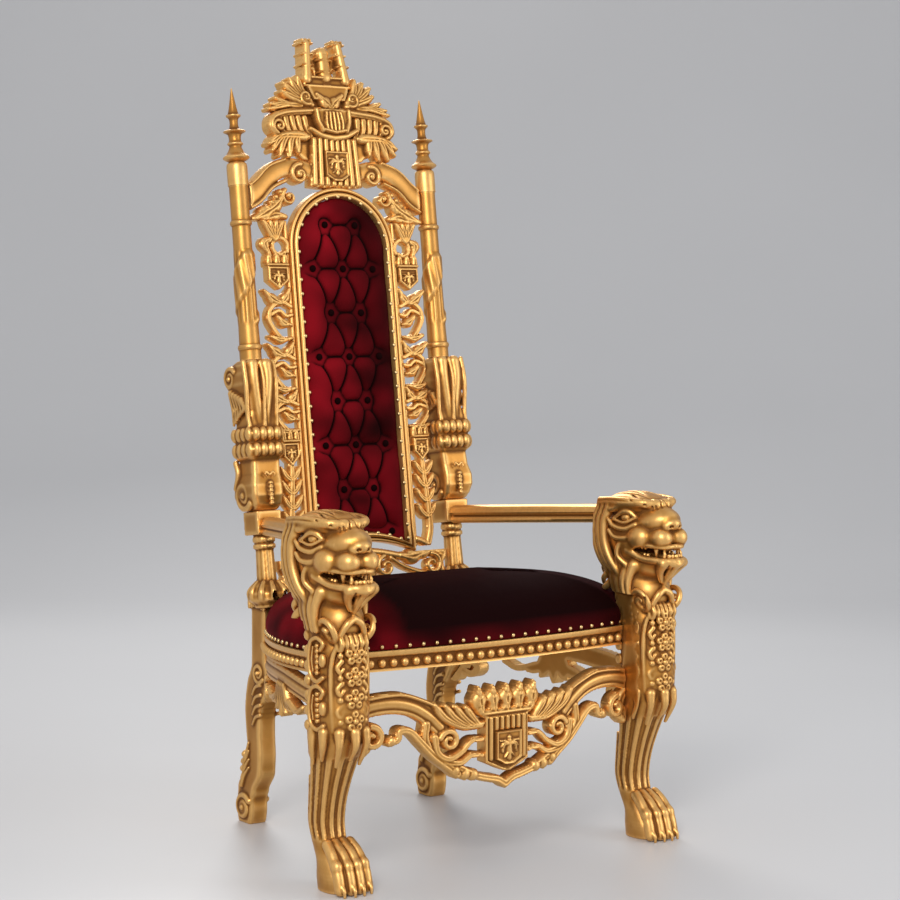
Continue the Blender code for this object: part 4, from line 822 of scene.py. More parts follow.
class Back:
    """Carved boards, frame and padding of the leaning back."""

    def __init__(self, shop: Workshop) -> None:
        """Remember the workshop."""
        self.shop = shop

    @staticmethod
    def leaning(forward: float, lean: Callable[[Array], Array] | None = None, side: int = 1) -> Callable[..., Array]:
        """Placing rule for a board whose back lies `forward` behind the posts' middle."""

        def place(u: Array, v: Array, depth: Array) -> Array:
            behind = forward - depth + (lean(v) if lean else 0.0)
            return CHAIR.lean(np.stack([side * u, behind, v], axis=1))

        return place

    @staticmethod
    def arch_gap(work: Relief) -> Array:
        """How far each point lies outside the arch frame."""
        radial = np.hypot(work.u, np.maximum(work.v - CHAIR.frame_spring, 0.0))
        return radial - CHAIR.frame_half_width - 0.0012

    def crest(self) -> None:
        """Shoulders, striped shield, helmet, mantling, plumes and castle."""
        work = Relief((0.0, 0.690), (0.256, 1.160), 0.0018, twin=True)
        self.shoulders(work)
        self.shield(work)
        self.mantling(work)
        self.plumes(work)
        self.castle(work)
        work.keep(self.arch_gap(work))
        work.keep(CHAIR.post_x - CHAIR.post_radius - 0.0040 - work.u)
        work.keep(work.v - CHAIR.crest_foot - CHAIR.joint_gap)

        def tip(v: Array) -> Array:
            return CHAIR.crest_lean * np.maximum(0.0, (v - 0.93) / 0.17)

        mesh = work.board("crest", CHAIR.crest_thickness, self.leaning(0.020, tip))
        self.shop.carved("crest_carving", mesh, ["crest"])

    @staticmethod
    def shoulders(work: Relief) -> None:
        """Scrolled slopes that run from the posts up to the shield."""
        slope = [(0.250, 0.752), (0.222, 0.772), (0.186, 0.806), (0.150, 0.826), (0.108, 0.830), (0.066, 0.822)]
        work.stroke(slope, 0.026, 0.020, 0.010)
        work.stroke([(0.252, 0.776), (0.224, 0.796), (0.186, 0.830), (0.140, 0.848)], 0.0040, 0.0040, 0.010)
        work.stroke(spiral((0.104, 0.812), 0.025, 100.0, -1.15), 0.008, 0.005, 0.013, 0.002)
        work.disc((0.104, 0.812), 0.010, 0.013, 0.003)
        work.stroke([(0.250, 0.724), (0.214, 0.745), (0.180, 0.778), (0.142, 0.796)], 0.0050, 0.0050, 0.011)
        work.leaf([(0.238, 0.700), (0.204, 0.716), (0.172, 0.736), (0.150, 0.766)], 0.015, 0.012)
        work.stroke(spiral((0.136, 0.756), 0.020, 60.0, -1.1), 0.006, 0.004, 0.012)
        work.disc((0.136, 0.757), 0.007, 0.012)
        for k in range(5):
            work.disc((0.160 + 0.013 * k, 0.768 - 0.013 * k), 0.0075, 0.012)
        work.leaf([(0.150, 0.708), (0.178, 0.712), (0.206, 0.702), (0.228, 0.706)], 0.012, 0.010)

    @staticmethod
    def shield(work: Relief) -> None:
        """A striped field under a smaller raised one."""
        work.panel([(-0.010, 0.776), (0.074, 0.784), (0.064, 0.906), (-0.010, 0.906)], 0.010)
        for k in range(4):
            work.stroke(np.array([(0.0085 + 0.018 * k, 0.790), (0.0075 + 0.0165 * k, 0.898)]), 0.0072, 0.0066, 0.007, 0.010)
        work.panel([(-0.01, 0.796), (0.012, 0.798), (0.033, 0.811), (0.033, 0.870), (-0.010, 0.870)], 0.021, 0.004, 0.003)
        eagle(work, 0.0, 0.838, 0.024, 0.018)

    @staticmethod
    def mantling(work: Relief) -> None:
        """Helmet with ribbed cloth that hangs in curled tongues either side."""
        work.stroke([(-0.005, 0.905), (0.035, 0.910), (0.066, 0.924)], 0.012, 0.006, 0.012, 0.008)
        work.panel([(-0.010, 0.912), (0.032, 0.920), (0.044, 0.974), (-0.010, 0.976)], 0.020)
        for u in (0.0, 0.010, 0.020):
            work.stroke([(u, 0.918), (1.15 * u, 0.940), (u, 0.966)], 0.0034, 0.0034, 0.007, 0.020)
        work.stroke([(-0.004, 0.915), (0.030, 0.922)], 0.0045, 0.0045, 0.008, 0.020)
        work.stroke([(0.034, 0.920), (0.044, 0.945), (0.046, 0.972)], 0.006, 0.006, 0.012, 0.014)
        roll = [(0.030, 0.972), (0.080, 0.968), (0.130, 0.962), (0.165, 0.948), (0.172, 0.925), (0.158, 0.910)]
        work.stroke(roll, 0.010, 0.009, 0.016, 0.002, ribs=2)
        work.stroke(spiral((0.152, 0.928), 0.018, -60.0, 1.2), 0.006, 0.005, 0.014, 0.004)
        work.disc((0.152, 0.929), 0.006, 0.014, 0.004)
        work.panel([(-0.010, 0.890), (0.140, 0.905), (0.165, 0.935), (0.150, 0.962), (-0.010, 0.975)], 0.0)
        for k in range(5):
            u = 0.066 + 0.018 * k
            work.stroke([(u + 0.010, 0.952), (u + 0.006, 0.925), (u - 0.008, 0.900)], 0.009, 0.005, 0.013, ribs=1)
        for end in ((0.182, 0.884), (0.176, 0.868), (0.156, 0.856), (0.128, 0.855), (0.102, 0.866)):
            work.leaf([(0.072, 0.905), (0.55 * end[0] + 0.045, 0.904), end], 0.014, 0.015, lobes=1)
        work.panel([(-0.01, 0.84), (0.085, 0.85), (0.115, 0.88), (0.075, 0.92), (-0.01, 0.92)], 0.0)

    @staticmethod
    def plumes(work: Relief) -> None:
        """Leaves that fan out under the castle."""
        for end in ((0.082, 1.054), (0.104, 1.047), (0.124, 1.036), (0.130, 1.015)):
            work.leaf([(0.050, 0.985), (0.5 * end[0] + 0.034, 0.5 * end[1] + 0.494), end], 0.014, 0.015, lobes=1)
        for end in ((0.150, 0.998), (0.166, 0.982), (0.172, 0.970)):
            work.leaf([(0.080, 0.982), (0.115, 0.984), end], 0.011, 0.012, lobes=1)
        work.panel([(-0.01, 0.966), (0.112, 0.966), (0.105, 1.010), (0.066, 1.030), (-0.01, 1.030)], 0.0)
        work.stroke(spiral((0.066, 1.004), 0.019, -120.0, 1.1), 0.006, 0.004, 0.014, 0.003)
        work.disc((0.066, 1.005), 0.006, 0.013, 0.003)
        work.leaf([(0.0, 0.978), (0.012, 0.992), (0.036, 1.012)], 0.012, 0.010, 0.010, lobes=2)

    @staticmethod
    def castle(work: Relief) -> None:
        """Crown band with a gate, two outer turrets and a middle one."""
        work.panel([(-0.01, 0.998), (0.044, 0.998), (0.062, 1.036), (-0.01, 1.038)], 0.014)
        work.panel([(-0.01, 1.030), (0.066, 1.030), (0.063, 1.060), (-0.01, 1.060)], 0.010)
        for high in (1.034, 1.056):
            work.stroke(np.array([(-0.004, high), (0.064, high)]), 0.0034, 0.0034, 0.005, 0.011)
        work.stroke(np.array([(0.055, 1.050), (0.045, 1.140)]), 0.0135, 0.0115, 0.016, 0.004)
        work.panel([(-0.01, 1.055), (0.050, 1.055), (0.042, 1.108), (-0.01, 1.108)], 0.0)
        work.stroke(np.array([(0.0, 1.060), (0.0, 1.112)]), 0.018, 0.016, 0.014, 0.004)
        work.disc((0.0, 1.118), 0.017, 0.014, 0.004)
        for high, reach in ((1.086, 0.0150), (1.114, 0.0140), (1.142, 0.0160)):
            middle = 0.055 - 0.111 * (high - 1.050)
            work.stroke(np.array([(middle - reach, high), (middle + reach, high)]), 0.0036, 0.0036, 0.019)
        for offset in (-0.011, 0.0, 0.011):
            spot = np.array([(0.0448 + offset, 1.142), (0.0446 + offset, 1.151)])
            work.stroke(spot, 0.0036, 0.0036, 0.017)
        for high in (1.070, 1.100):
            work.stroke(np.array([(-0.004, high), (0.019, high)]), 0.0030, 0.0030, 0.018)
        work.pierce((0.0335, 1.070), 0.0085, 0.0095)

    def frets(self) -> None:
        """Pierced strips between frame and posts."""
        inner = CHAIR.frame_half_width + 0.0012
        work = Relief((0.146, -0.112), (0.250, 0.712), 0.0016)
        bar = 0.0060
        work.stroke(np.array([(inner, 0.700), (inner, -0.100)]), 0.0090, 0.0090, 0.004)
        for k in range(4):
            u = 0.166 + 0.014 * k
            tip = (u + 0.005 * (k - 1), 0.700)
            work.leaf([(0.188, 0.650), (0.5 * u + 0.095, 0.668), tip], 0.010, 0.011, lobes=1)
        work.leaf([(0.200, 0.652), (0.216, 0.640), (0.204, 0.612)], 0.011, 0.010, lobes=2)
        work.stroke(spiral((0.176, 0.634), 0.023, -150.0, -0.95, 0.8), bar, bar, 0.010, ribs=1)
        for centre, half in ((0.562, 0.028), (0.139, 0.022)):
            self.fret_shield(work, inner, 0.187, centre, half)
        for low, high in ((0.410, 0.535), (0.290, 0.405), (0.190, 0.290)):
            self.fret_scroll(work, bar, low, high)
        stalk = [(0.187, 0.115), (0.190, 0.060), (0.196, 0.000), (0.198, -0.060), (0.186, -0.104)]
        work.stroke(stalk, 0.008, 0.011, 0.012, ribs=1)
        for high in (0.088, 0.056, 0.020, -0.018):
            for lean in (-0.026, 0.026):
                path = [(0.191, high - 0.014), (0.191 + 0.5 * lean, high - 0.004), (0.191 + lean, high + 0.016)]
                work.leaf(path, 0.009, 0.011, lobes=1)
        work.stroke([(inner, -0.086), (0.165, -0.090), (0.186, -0.100)], 0.009, 0.009, 0.010)
        beside = np.where(work.v < CHAIR.console_top + 0.006, CHAIR.console_inner_x - 0.0012,
                          CHAIR.post_x - CHAIR.post_radius - 0.010)
        work.keep(beside - work.u)
        work.keep(self.arch_gap(work))
        work.keep(work.u - inner)
        work.keep(work.v + 0.104)
        work.keep(CHAIR.crest_foot - CHAIR.joint_gap - work.v)
        for side in Side:
            mesh = work.board(f"fret_{side.word}", CHAIR.fret_thickness, self.leaning(0.008, side=side.value))
            self.shop.carved(f"fret_carving_{side.word}", mesh, [f"fret_{side.word}"])

    @staticmethod
    def fret_shield(work: Relief, inner: float, middle: float, centre: float, half: float) -> None:
        """A small crowned shield."""
        corners = [(middle - half, centre - 0.010), (middle, centre - 0.032), (middle + half, centre - 0.010),
                   (middle + half, centre + 0.024), (middle - half, centre + 0.024)]
        work.panel(corners, 0.012, 0.005, 0.004)
        eagle(work, middle, centre - 0.004, 0.66 * half, 0.008)
        work.stroke([(middle - half, centre + 0.028), (middle + half, centre + 0.028)], 0.005, 0.005, 0.014)
        for k in (-1, 0, 1):
            u = middle + 0.8 * half * k
            work.leaf([(u, centre + 0.030), (u, centre + 0.040), (u, centre + 0.052)], 0.010, 0.012, lobes=1)
        work.stroke([(inner, centre), (middle, centre)], 0.008, 0.008, 0.0)

    @staticmethod
    def fret_scroll(work: Relief, bar: float, low: float, high: float) -> None:
        """One bay of scrolls and leaves."""
        mid, reach = 0.5 * (low + high), high - low
        fork = (0.185, high - 0.30 * reach)
        work.leaf([fork, (0.205, high - 0.22 * reach), (0.228, high - 0.06 * reach)], 0.011, 0.011, lobes=2)
        work.leaf([fork, (0.170, high - 0.20 * reach), (0.158, high - 0.02 * reach)], 0.009, 0.010, lobes=2)
        sweep = [(0.158, mid + 0.14 * reach), (0.186, mid + 0.23 * reach), (0.213, mid + 0.10 * reach),
                 (0.220, mid - 0.10 * reach), (0.208, mid - 0.30 * reach), (0.188, low)]
        work.stroke(sweep, bar, 0.0075, 0.011, ribs=1)
        curl = [(0.216, mid - 0.02 * reach), (0.190, mid + 0.06 * reach), (0.172, mid - 0.04 * reach),
                (0.156, mid - 0.02 * reach)]
        work.stroke(curl, bar, 0.005, 0.010, ribs=1)
        work.leaf([(0.196, mid - 0.06 * reach), (0.180, mid - 0.18 * reach), (0.160, mid - 0.22 * reach)],
                  0.009, 0.011, lobes=2)
        work.leaf([(0.218, low + 0.06 * reach), (0.192, low), (0.160, low + 0.03 * reach)], 0.008, 0.011, lobes=2)

    def lower_fret(self) -> None:
        """Pierced scrolls under the back frame."""
        foot = (CHAIR.rail_top(CHAIR.back_foot_y) - CHAIR.back_foot_z) / math.cos(CHAIR.back_rake) + 0.012
        work = Relief((0.0, foot - 0.01), (0.252, -0.070), 0.0019, twin=True)
        work.stroke([(0.240, -0.128), (0.200, -0.118), (0.165, -0.122), (0.125, -0.126)], 0.012, 0.009, 0.010, ribs=1)
        work.stroke([(0.240, -0.120), (0.222, -0.150), (0.236, -0.185), (0.246, -0.190)], 0.010, 0.010, 0.009)
        work.leaf([(0.105, -0.124), (0.140, -0.128), (0.175, -0.118), (0.210, -0.112)], 0.016, 0.013)
        work.stroke(spiral((0.196, -0.150), 0.026, 90.0, -1.2), 0.007, 0.005, 0.013)
        work.stroke([(0.110, -0.126), (0.076, -0.118), (0.045, -0.112), (0.0, -0.106)], 0.009, 0.009, 0.009)
        work.stroke([(0.190, -0.176), (0.150, -0.165), (0.110, -0.150), (0.075, -0.128)], 0.008, 0.006, 0.011)
        work.stroke(spiral((0.060, -0.148), 0.026, 100.0, 1.2), 0.007, 0.005, 0.013)
        fall = [(0.190, -0.172), (0.180, -0.200), (0.140, -0.222), (0.120, -0.250), (0.118, foot)]
        work.stroke(fall, 0.008, 0.013, 0.011, ribs=1)
        work.leaf([(0.0, foot + 0.060), (0.0, -0.165), (0.0, -0.104)], 0.026, 0.013, lobes=2)
        base = [(0.0, foot + 0.05), (0.050, foot + 0.060), (0.090, foot + 0.030), (0.120, foot + 0.010)]
        work.stroke(base, 0.009, 0.012, 0.011, ribs=1)
        rise = CHAIR.frame_bottom_rise * (1.0 - np.minimum(work.u / CHAIR.frame_half_width, 1.0) ** 2)
        work.keep(CHAIR.post_x - 0.031 - work.u)
        work.keep(CHAIR.frame_bottom + rise - 0.0012 - work.v)
        work.keep(work.v - foot)
        mesh = work.board("lower_fret", CHAIR.fret_thickness, self.leaning(0.010))
        self.shop.carved("lower_fret_carving", mesh, ["lower_fret"])

    @staticmethod
    def arch(inset: float) -> Array:
        """The arched outline, inset from the frame's outer edge; anticlockwise from the lower left."""
        half = CHAIR.frame_half_width - inset
        bottom = CHAIR.frame_bottom + inset * 0.95
        sill = np.linspace(-1.0, 1.0, 25)
        jamb = np.linspace(0.03, 1.0, 34)
        turn = np.linspace(0.0, math.pi, 61)[1:-1]
        rise = bottom + (CHAIR.frame_spring - bottom) * jamb
        return np.vstack([
            np.stack([half * sill, bottom + CHAIR.frame_bottom_rise * (1.0 - sill**2)], axis=1),
            np.stack([np.full(34, half), rise], axis=1),
            np.stack([half * np.cos(turn), CHAIR.frame_spring + half * np.sin(turn)], axis=1),
            np.stack([np.full(34, -half), rise[::-1]], axis=1),
        ])

    def frame(self) -> None:
        """Moulded arch: outer bead, hollow and inner round."""
        bar = CHAIR.frame_bar
        section = [(0.0, -0.012), (0.0, 0.008)]
        for turn in np.linspace(math.pi, 0.0, 7):
            section.append((0.0045 + 0.0045 * math.cos(turn), 0.0135 + 0.0060 * math.sin(turn)))
        section.append((0.0105, 0.0105))
        for turn in np.linspace(math.pi, 0.0, 9):
            section.append((0.0175 + 0.0060 * math.cos(turn), 0.0140 + 0.0080 * math.sin(turn)))
        section += [(bar, 0.012), (bar, -0.012)]
        loops = []
        for inset, forward in section:
            outline = self.arch(inset)
            loops.append(CHAIR.lean(np.stack([outline[:, 0], np.full(len(outline), -forward), outline[:, 1]], axis=1)))
        mesh = tube_mesh("frame", loops)
        self.shop.carved("frame_moulding", mesh, ["back_frame"])

    def pad(self) -> None:
        """Deep buttoned velvet inside the arch, with its buttons and brass nails."""
        rim = CHAIR.frame_bar + 0.001
        half = CHAIR.frame_half_width - rim
        low = CHAIR.frame_bottom + 0.95 * rim
        work = Relief((0.0, low), (half, CHAIR.frame_spring + half), 0.0026, twin=True)
        sill = low + CHAIR.frame_bottom_rise * (1.0 - (work.u / half) ** 2)
        inside = np.minimum(half - np.hypot(work.u, np.maximum(work.v - CHAIR.frame_spring, 0.0)), work.v - sill)
        work.inside = inside
        share = np.clip(inside / 0.045, 0.0, 1.0)
        height = CHAIR.pad_crown * (1.0 - (1.0 - share) ** 2.4)
        spots = self.button_spots()
        for u, v in spots:
            distance = np.hypot(work.u - abs(u), work.v - v)
            height = height - 0.0130 * np.exp(-((distance / 0.0130) ** 2)) - 0.0080 * np.exp(-((distance / 0.034) ** 2))
        for a, b in self.pleats(spots):
            run = b - a
            for flip in (-1, 1):
                t = np.clip(((flip * work.u - a[0]) * run[0] + (work.v - a[1]) * run[1]) / (run @ run), 0.0, 1.0)
                distance = np.hypot(flip * work.u - a[0] - t * run[0], work.v - a[1] - t * run[1])
                height = height - 0.0040 * np.exp(-((distance / 0.0050) ** 2)) - 0.0030 * np.exp(-((distance / 0.016) ** 2))
        work.height = height
        mesh = work.board("pad", 0.019, self.leaning(0.011))
        # The hollows of the dimples and pleats become painted shade on the velvet.
        mark_glaze_and_shade(mesh, 0.006)
        # Painted light: lit crimson on the left of the padding, fading towards near black to the right, more so higher
        # up.
        brush(mesh, lambda spots: np.clip(0.80 - 0.9 * (spots[:, 0] + 0.02) / 0.12 * (spots[:, 2] - 0.60), 0.25, 1.0))
        made = self.shop.piece("back_padding", mesh, self.shop.velvet, "velvet", ["back_pad"])
        self.buttons(spots)
        self.nails(rim)

    @staticmethod
    def button_spots() -> list[Array]:
        """Where the buttons sit: rows of two between rows of three."""
        pitch, first = 0.215, 0.045
        spots = []
        for row in range(4):
            spots += [np.array([u, first + pitch * row]) for u in (-0.043, 0.043)]
        for row in range(-1, 3):
            spots += [np.array([u, first + pitch * (row + 0.5)]) for u in (-0.086, 0.0, 0.086)]
        return spots

    @staticmethod
    def pleats(spots: Sequence[Array]) -> list[tuple[Array, Array]]:
        """Folds from the edge along the rows of three, and between neighbouring buttons."""
        pairs = []
        for a in spots:
            if a[0] < -0.08:
                pairs += [(a - np.array([0.040, 0.004]), a)]
            for b in spots:
                if a[0] < b[0] and 0.04 < float(np.hypot(*(b - a))) < 0.12:
                    pairs.append((a, b))
        return pairs

    def buttons(self, spots: Sequence[Array]) -> None:
        """Covered buttons at the bottom of the dimples."""
        centres = CHAIR.lean(np.array([(u, -0.0105, v) for u, v in spots]))
        mesh = beads("buttons", centres, (0.0085, 0.0050, 0.0085))
        # Painted shade: the buttons get no painted light and stay near black, darker still in their hollows.
        mark_glaze_and_shade(mesh, 0.004)
        brush(mesh, lambda spots: np.zeros(len(spots)))
        self.shop.piece("pad_buttons", mesh, self.shop.velvet, "velvet")

    def nails(self, rim: float) -> None:
        """Brass heads round the padding."""
        outline = self.arch(rim - 0.0035)
        spots = evenly(np.vstack([outline, outline[:1]]), 0.034)
        centres = CHAIR.lean(np.stack([spots[:, 0], np.full(len(spots), -0.0195), spots[:, 1]], axis=1))
        mesh = beads("nails", centres, (0.0050, 0.0034, 0.0050))
        self.shop.piece("back_nails", mesh, self.shop.brass, "nails")

    def columns(self) -> None:
        """Turned posts with a ribbon wound up the middle, and their finials."""
        low = CHAIR.console_top + CHAIR.joint_gap
        high = CHAIR.column_top
        profile = [(low, 0.026), (low + 0.023, 0.026), (low + 0.025, 0.028), (low + 0.030, 0.029), (low + 0.035, 0.028),
                   (low + 0.037, 0.025), (0.442, 0.024), (0.629, 0.0225), (0.683, 0.0225), (0.686, 0.0255),
                   (0.690, 0.0265), (0.694, 0.0255), (0.697, 0.0225), (high, 0.0225)]
        levels = np.array(sorted({*np.linspace(low, high, 170), *(up for up, _ in profile)}))
        radii = np.interp(levels, *np.array(profile).T)
        turn = np.linspace(0.0, math.tau, 72, endpoint=False)[None, :]
        ends = np.clip(np.minimum(levels - 0.446, 0.627 - levels) / 0.012, 0.0, 1.0)[:, None]
        ribbon = np.clip(np.cos(turn - 34.0 * (levels[:, None] - 0.446)) * 2.2 + 0.5, 0.0, 1.0)
        veins = 0.0009 * np.cos(9.0 * turn + 60.0 * levels[:, None]) * ribbon
        flutes = 0.0007 * np.cos(12.0 * turn) * (1.0 - ribbon)
        reach = radii[:, None] + ends * (0.0040 * ribbon + veins + flutes)
        self.posts("column", levels, reach, turn, ["column"])
        low = CHAIR.column_top + CHAIR.joint_gap
        rings = [(low, 0.0245), (0.828, 0.0245), (0.836, 0.018), (0.846, 0.032), (0.857, 0.022), (0.873, 0.0145),
                 (0.880, 0.0190), (0.888, 0.0145), (0.903, 0.0165), (0.910, 0.027), (0.917, 0.0125), (0.938, 0.0105),
                 (0.948, 0.018), (0.957, 0.0115), (CHAIR.finial_top, 0.0012)]
        path = through(rings, 5)
        path = path[np.concatenate([[True], np.diff(path[:, 0]) > 1e-5])]
        turn = np.linspace(0.0, math.tau, 40, endpoint=False)[None, :]
        self.posts("finial", path[:, 0], np.maximum(path[:, 1], 0.001)[:, None] + 0.0 * turn, turn, ["finial"])

    def posts(self, name: str, levels: Array, reach: Array, turn: Array, nodes: Sequence[str]) -> None:
        """Make both turned posts of one kind."""
        for side in Side:
            across = side.value * CHAIR.post_x + reach * np.cos(turn)
            behind = reach * np.sin(turn)
            up = np.broadcast_to(levels[:, None], across.shape)
            rings = [CHAIR.lean(np.stack([x, y, z], axis=1)) for x, y, z in zip(across, behind, up)]
            mesh = lofted(f"{name}_{side.word}", rings)
            self.shop.carved(f"{name}_turning_{side.word}", mesh, [f"{node}_{side.word}" for node in nodes], 0.0040)


def lofted(name: str, rings: Sequence[Array], sharp: float = 50.0) -> bpy.types.Mesh:
    """Bridge closed rings of points and cap both ends."""
    count = len(rings[0])
    start = np.arange(count)
    after = np.roll(start, -1)
    faces: list[list[int]] = [start[::-1].tolist(), (start + count * (len(rings) - 1)).tolist()]
    for k in range(len(rings) - 1):
        low, high = k * count, (k + 1) * count
        faces.extend(np.stack([start + low, after + low, after + high, start + high], axis=1).tolist())
    return mesh_of(name, np.vstack(rings), faces, sharp)


def tube_mesh(name: str, loops: Sequence[Array], sharp: float = 40.0) -> bpy.types.Mesh:
    """Bridge loops round a ring and back to the first."""
    count = len(loops[0])
    start = np.arange(count)
    after = np.roll(start, -1)
    faces: list[list[int]] = []
    for k in range(len(loops)):
        low, high = k * count, (k + 1) % len(loops) * count
        faces.extend(np.stack([start + low, after + low, after + high, start + high], axis=1).tolist())
    return mesh_of(name, np.vstack(loops), faces, sharp)


def evenly(path: Array, pitch: float) -> Array:
    """Points at an even pitch along a path."""
    gaps = np.linalg.norm(np.diff(path, axis=0), axis=1)
    run = np.concatenate([[0.0], np.cumsum(gaps)])
    count = max(int(round(run[-1] / pitch)), 1)
    at = np.linspace(0.0, run[-1], count, endpoint=False)
    return np.stack([np.interp(at, run, path[:, axis]) for axis in range(path.shape[1])], axis=1)


def beads(name: str, centres: Array, radii: Point, rings: int = 8) -> bpy.types.Mesh:
    """Many small balls in one mesh, copied from one that Blender makes."""
    bpy.ops.object.select_all(action="DESELECT")
    bpy.ops.mesh.primitive_uv_sphere_add(segments=2 * rings, ring_count=rings, radius=1.0)
    seed = bpy.context.object
    spots = np.array([vertex.co[:] for vertex in seed.data.vertices]) * np.array(radii)
    pattern = [list(polygon.vertices) for polygon in seed.data.polygons]
    bpy.data.objects.remove(seed)
    faces = [[corner + k * len(spots) for corner in face] for k in range(len(centres)) for face in pattern]
    return mesh_of(name, np.vstack([spots + centre for centre in centres]), faces)


class Base:
    """Legs, rails, aprons, arms and the seat."""

    def __init__(self, shop: Workshop) -> None:
        """Remember the workshop."""
        self.shop = shop

    def both(self, name: str, right: bpy.types.Mesh, node: str, reach: float = 0.0016) -> None:
        """Dress the right-hand piece and its mirror image."""
        left = mirrored(right, f"{node}_left")
        self.shop.carved(f"{name}_right", right, [f"{node}_right"], reach)
        self.shop.carved(f"{name}_left", left, [f"{node}_left"], reach)

    def front_apron(self) -> None:
        """Bowed board with a crowned shield, leaves and scrolls."""
        reach = CHAIR.leg_inner_x
        work = Relief((0.0, 0.160), (reach + 0.006, 0.412), 0.0019, twin=True)
        band = [(0.375, 0.372), (0.330, 0.382), (0.280, 0.382), (0.235, 0.370), (0.195, 0.345), (0.170, 0.322)]
        work.stroke(band, 0.024, 0.020, 0.008, ribs=2)
        work.stroke([(0.345, 0.398), (0.300, 0.402), (0.260, 0.400), (0.215, 0.384), (0.190, 0.372)],
                    0.005, 0.005, 0.012)
        work.stroke(spiral((0.338, 0.312), 0.026, 90.0, 1.1), 0.009, 0.006, 0.013, ribs=1)
        work.stroke([(0.375, 0.345), (0.356, 0.330), (0.350, 0.300)], 0.012, 0.012, 0.008, ribs=1)
        work.leaf([(0.352, 0.300), (0.360, 0.290), (0.372, 0.276)], 0.016, 0.010)
        sweep = [(0.296, 0.298), (0.276, 0.304), (0.270, 0.322), (0.245, 0.318), (0.215, 0.288), (0.185, 0.258),
                 (0.150, 0.232), (0.128, 0.214)]
        work.stroke(sweep, 0.008, 0.011, 0.012, ribs=1)
        work.disc((0.290, 0.302), 0.012, 0.013)
        work.stroke([(0.205, 0.330), (0.208, 0.300), (0.196, 0.270)], 0.010, 0.010, 0.010, ribs=1)
        for k in range(4):
            lift = 0.372 - 0.004 * k
            feather = [(0.188 - 0.026 * k, lift), (0.160 - 0.022 * k, 0.340), (0.110 - 0.012 * k, 0.318), (0.064, 0.322)]
            work.leaf(feather, 0.011, 0.015, lobes=1)
        work.stroke(spiral((0.150, 0.290), 0.024, 20.0, 1.3), 0.008, 0.005, 0.015, ribs=1)
        hook = [(0.186, 0.300), (0.178, 0.266), (0.150, 0.250), (0.118, 0.262), (0.092, 0.284), (0.064, 0.286)]
        work.stroke(hook, 0.010, 0.006, 0.013, ribs=1)
        work.stroke([(0.160, 0.244), (0.120, 0.238), (0.092, 0.252), (0.064, 0.250)], 0.009, 0.006, 0.012, ribs=1)
        for u, v in ((0.134, 0.222), (0.108, 0.212), (0.086, 0.208)):
            work.disc((u, v), 0.014, 0.013)
        tail = [(0.120, 0.226), (0.080, 0.206), (0.045, 0.196), (0.020, 0.190), (0.0, 0.178)]
        work.stroke(tail, 0.009, 0.010, 0.011, ribs=1)
        self.apron_shield(work)
        work.keep(reach - CHAIR.joint_gap - work.u)

        def place(u: Array, v: Array, depth: Array) -> Array:
            return np.stack([u, CHAIR.front_rail_y(u) - 0.008 + CHAIR.apron_thickness - depth, v], axis=1)

        self.shop.carved("apron_carving_front", work.board("apron_front", CHAIR.apron_thickness, place), ["apron_front"])

    @staticmethod
    def apron_shield(work: Relief) -> None:
        """Crowned shield at the middle of the front."""
        work.panel([(-0.01, 0.208), (0.010, 0.210), (0.058, 0.232), (0.058, 0.336), (-0.01, 0.336)], 0.014, 0.005, 0.004)
        work.panel([(-0.01, 0.224), (0.012, 0.226), (0.034, 0.238), (0.034, 0.300), (-0.010, 0.300)], 0.022, 0.004, 0.003)
        for k in range(4):
            work.stroke(np.array([(0.015 * k, 0.306 - 0.066 * (k == 3)), (0.015 * k, 0.330)]), 0.005, 0.005, 0.006, 0.012)
        eagle(work, 0.0, 0.264, 0.026, 0.019)
        work.stroke(np.array([(-0.01, 0.342), (0.062, 0.342)]), 0.009, 0.009, 0.015, 0.003, ribs=2)
        for u in (0.0, 0.034, 0.068):
            work.leaf([(u, 0.346), (1.05 * u, 0.370), (1.12 * u, 0.398)], 0.017, 0.016, lobes=2)
        work.pierce((0.017, 0.361), 0.007, 0.008)
        work.pierce((0.052, 0.361), 0.007, 0.008)

    def side_aprons(self) -> None:
        """Arched bracket boards under the side rails."""
        front = CHAIR.leg_rear_y + CHAIR.joint_gap
        rear = CHAIR.back_foot_y - 0.030
        work = Relief((front - 0.006, 0.250), (rear, 0.460), 0.0020)
        middle = 0.5 * (front + rear) - 0.02
        arch = [(front - 0.01, 0.385), (front + 0.07, 0.398), (middle, 0.412), (rear - 0.09, 0.404), (rear + 0.01, 0.392)]
        work.stroke(arch, 0.024, 0.022, 0.008, ribs=2)
        work.stroke(spiral((front + 0.040, 0.330), 0.028, 100.0, 1.2), 0.010, 0.006, 0.013, ribs=1)
        work.stroke([(front + 0.010, 0.360), (front + 0.012, 0.320), (front + 0.002, 0.290)], 0.012, 0.012, 0.009, ribs=1)
        work.stroke(spiral((rear - 0.050, 0.345), 0.026, 80.0, -1.2), 0.010, 0.006, 0.013, ribs=1)
        work.stroke([(rear - 0.004, 0.372), (rear - 0.018, 0.345), (rear - 0.010, 0.318)], 0.014, 0.012, 0.009)
        for k in range(-2, 3):
            frond = [(middle + 0.010 * k, 0.398), (middle + 0.020 * k, 0.362), (middle + 0.036 * k, 0.330 + 0.010 * abs(k))]
            work.leaf(frond, 0.013, 0.013, lobes=1)
        for lean in (-1, 1):
            hook = [(middle + lean * 0.05, 0.365), (middle + lean * 0.10, 0.352), (middle + lean * 0.135, 0.366)]
            work.stroke(hook, 0.008, 0.006, 0.012)
        levels, fronts = zip(*[(z, front) for z, front, _ in REAR_LEG])
        work.keep(CHAIR.back_foot_y + np.interp(work.v, levels, fronts) - 0.0024 - work.u)
        work.keep(work.u - front)

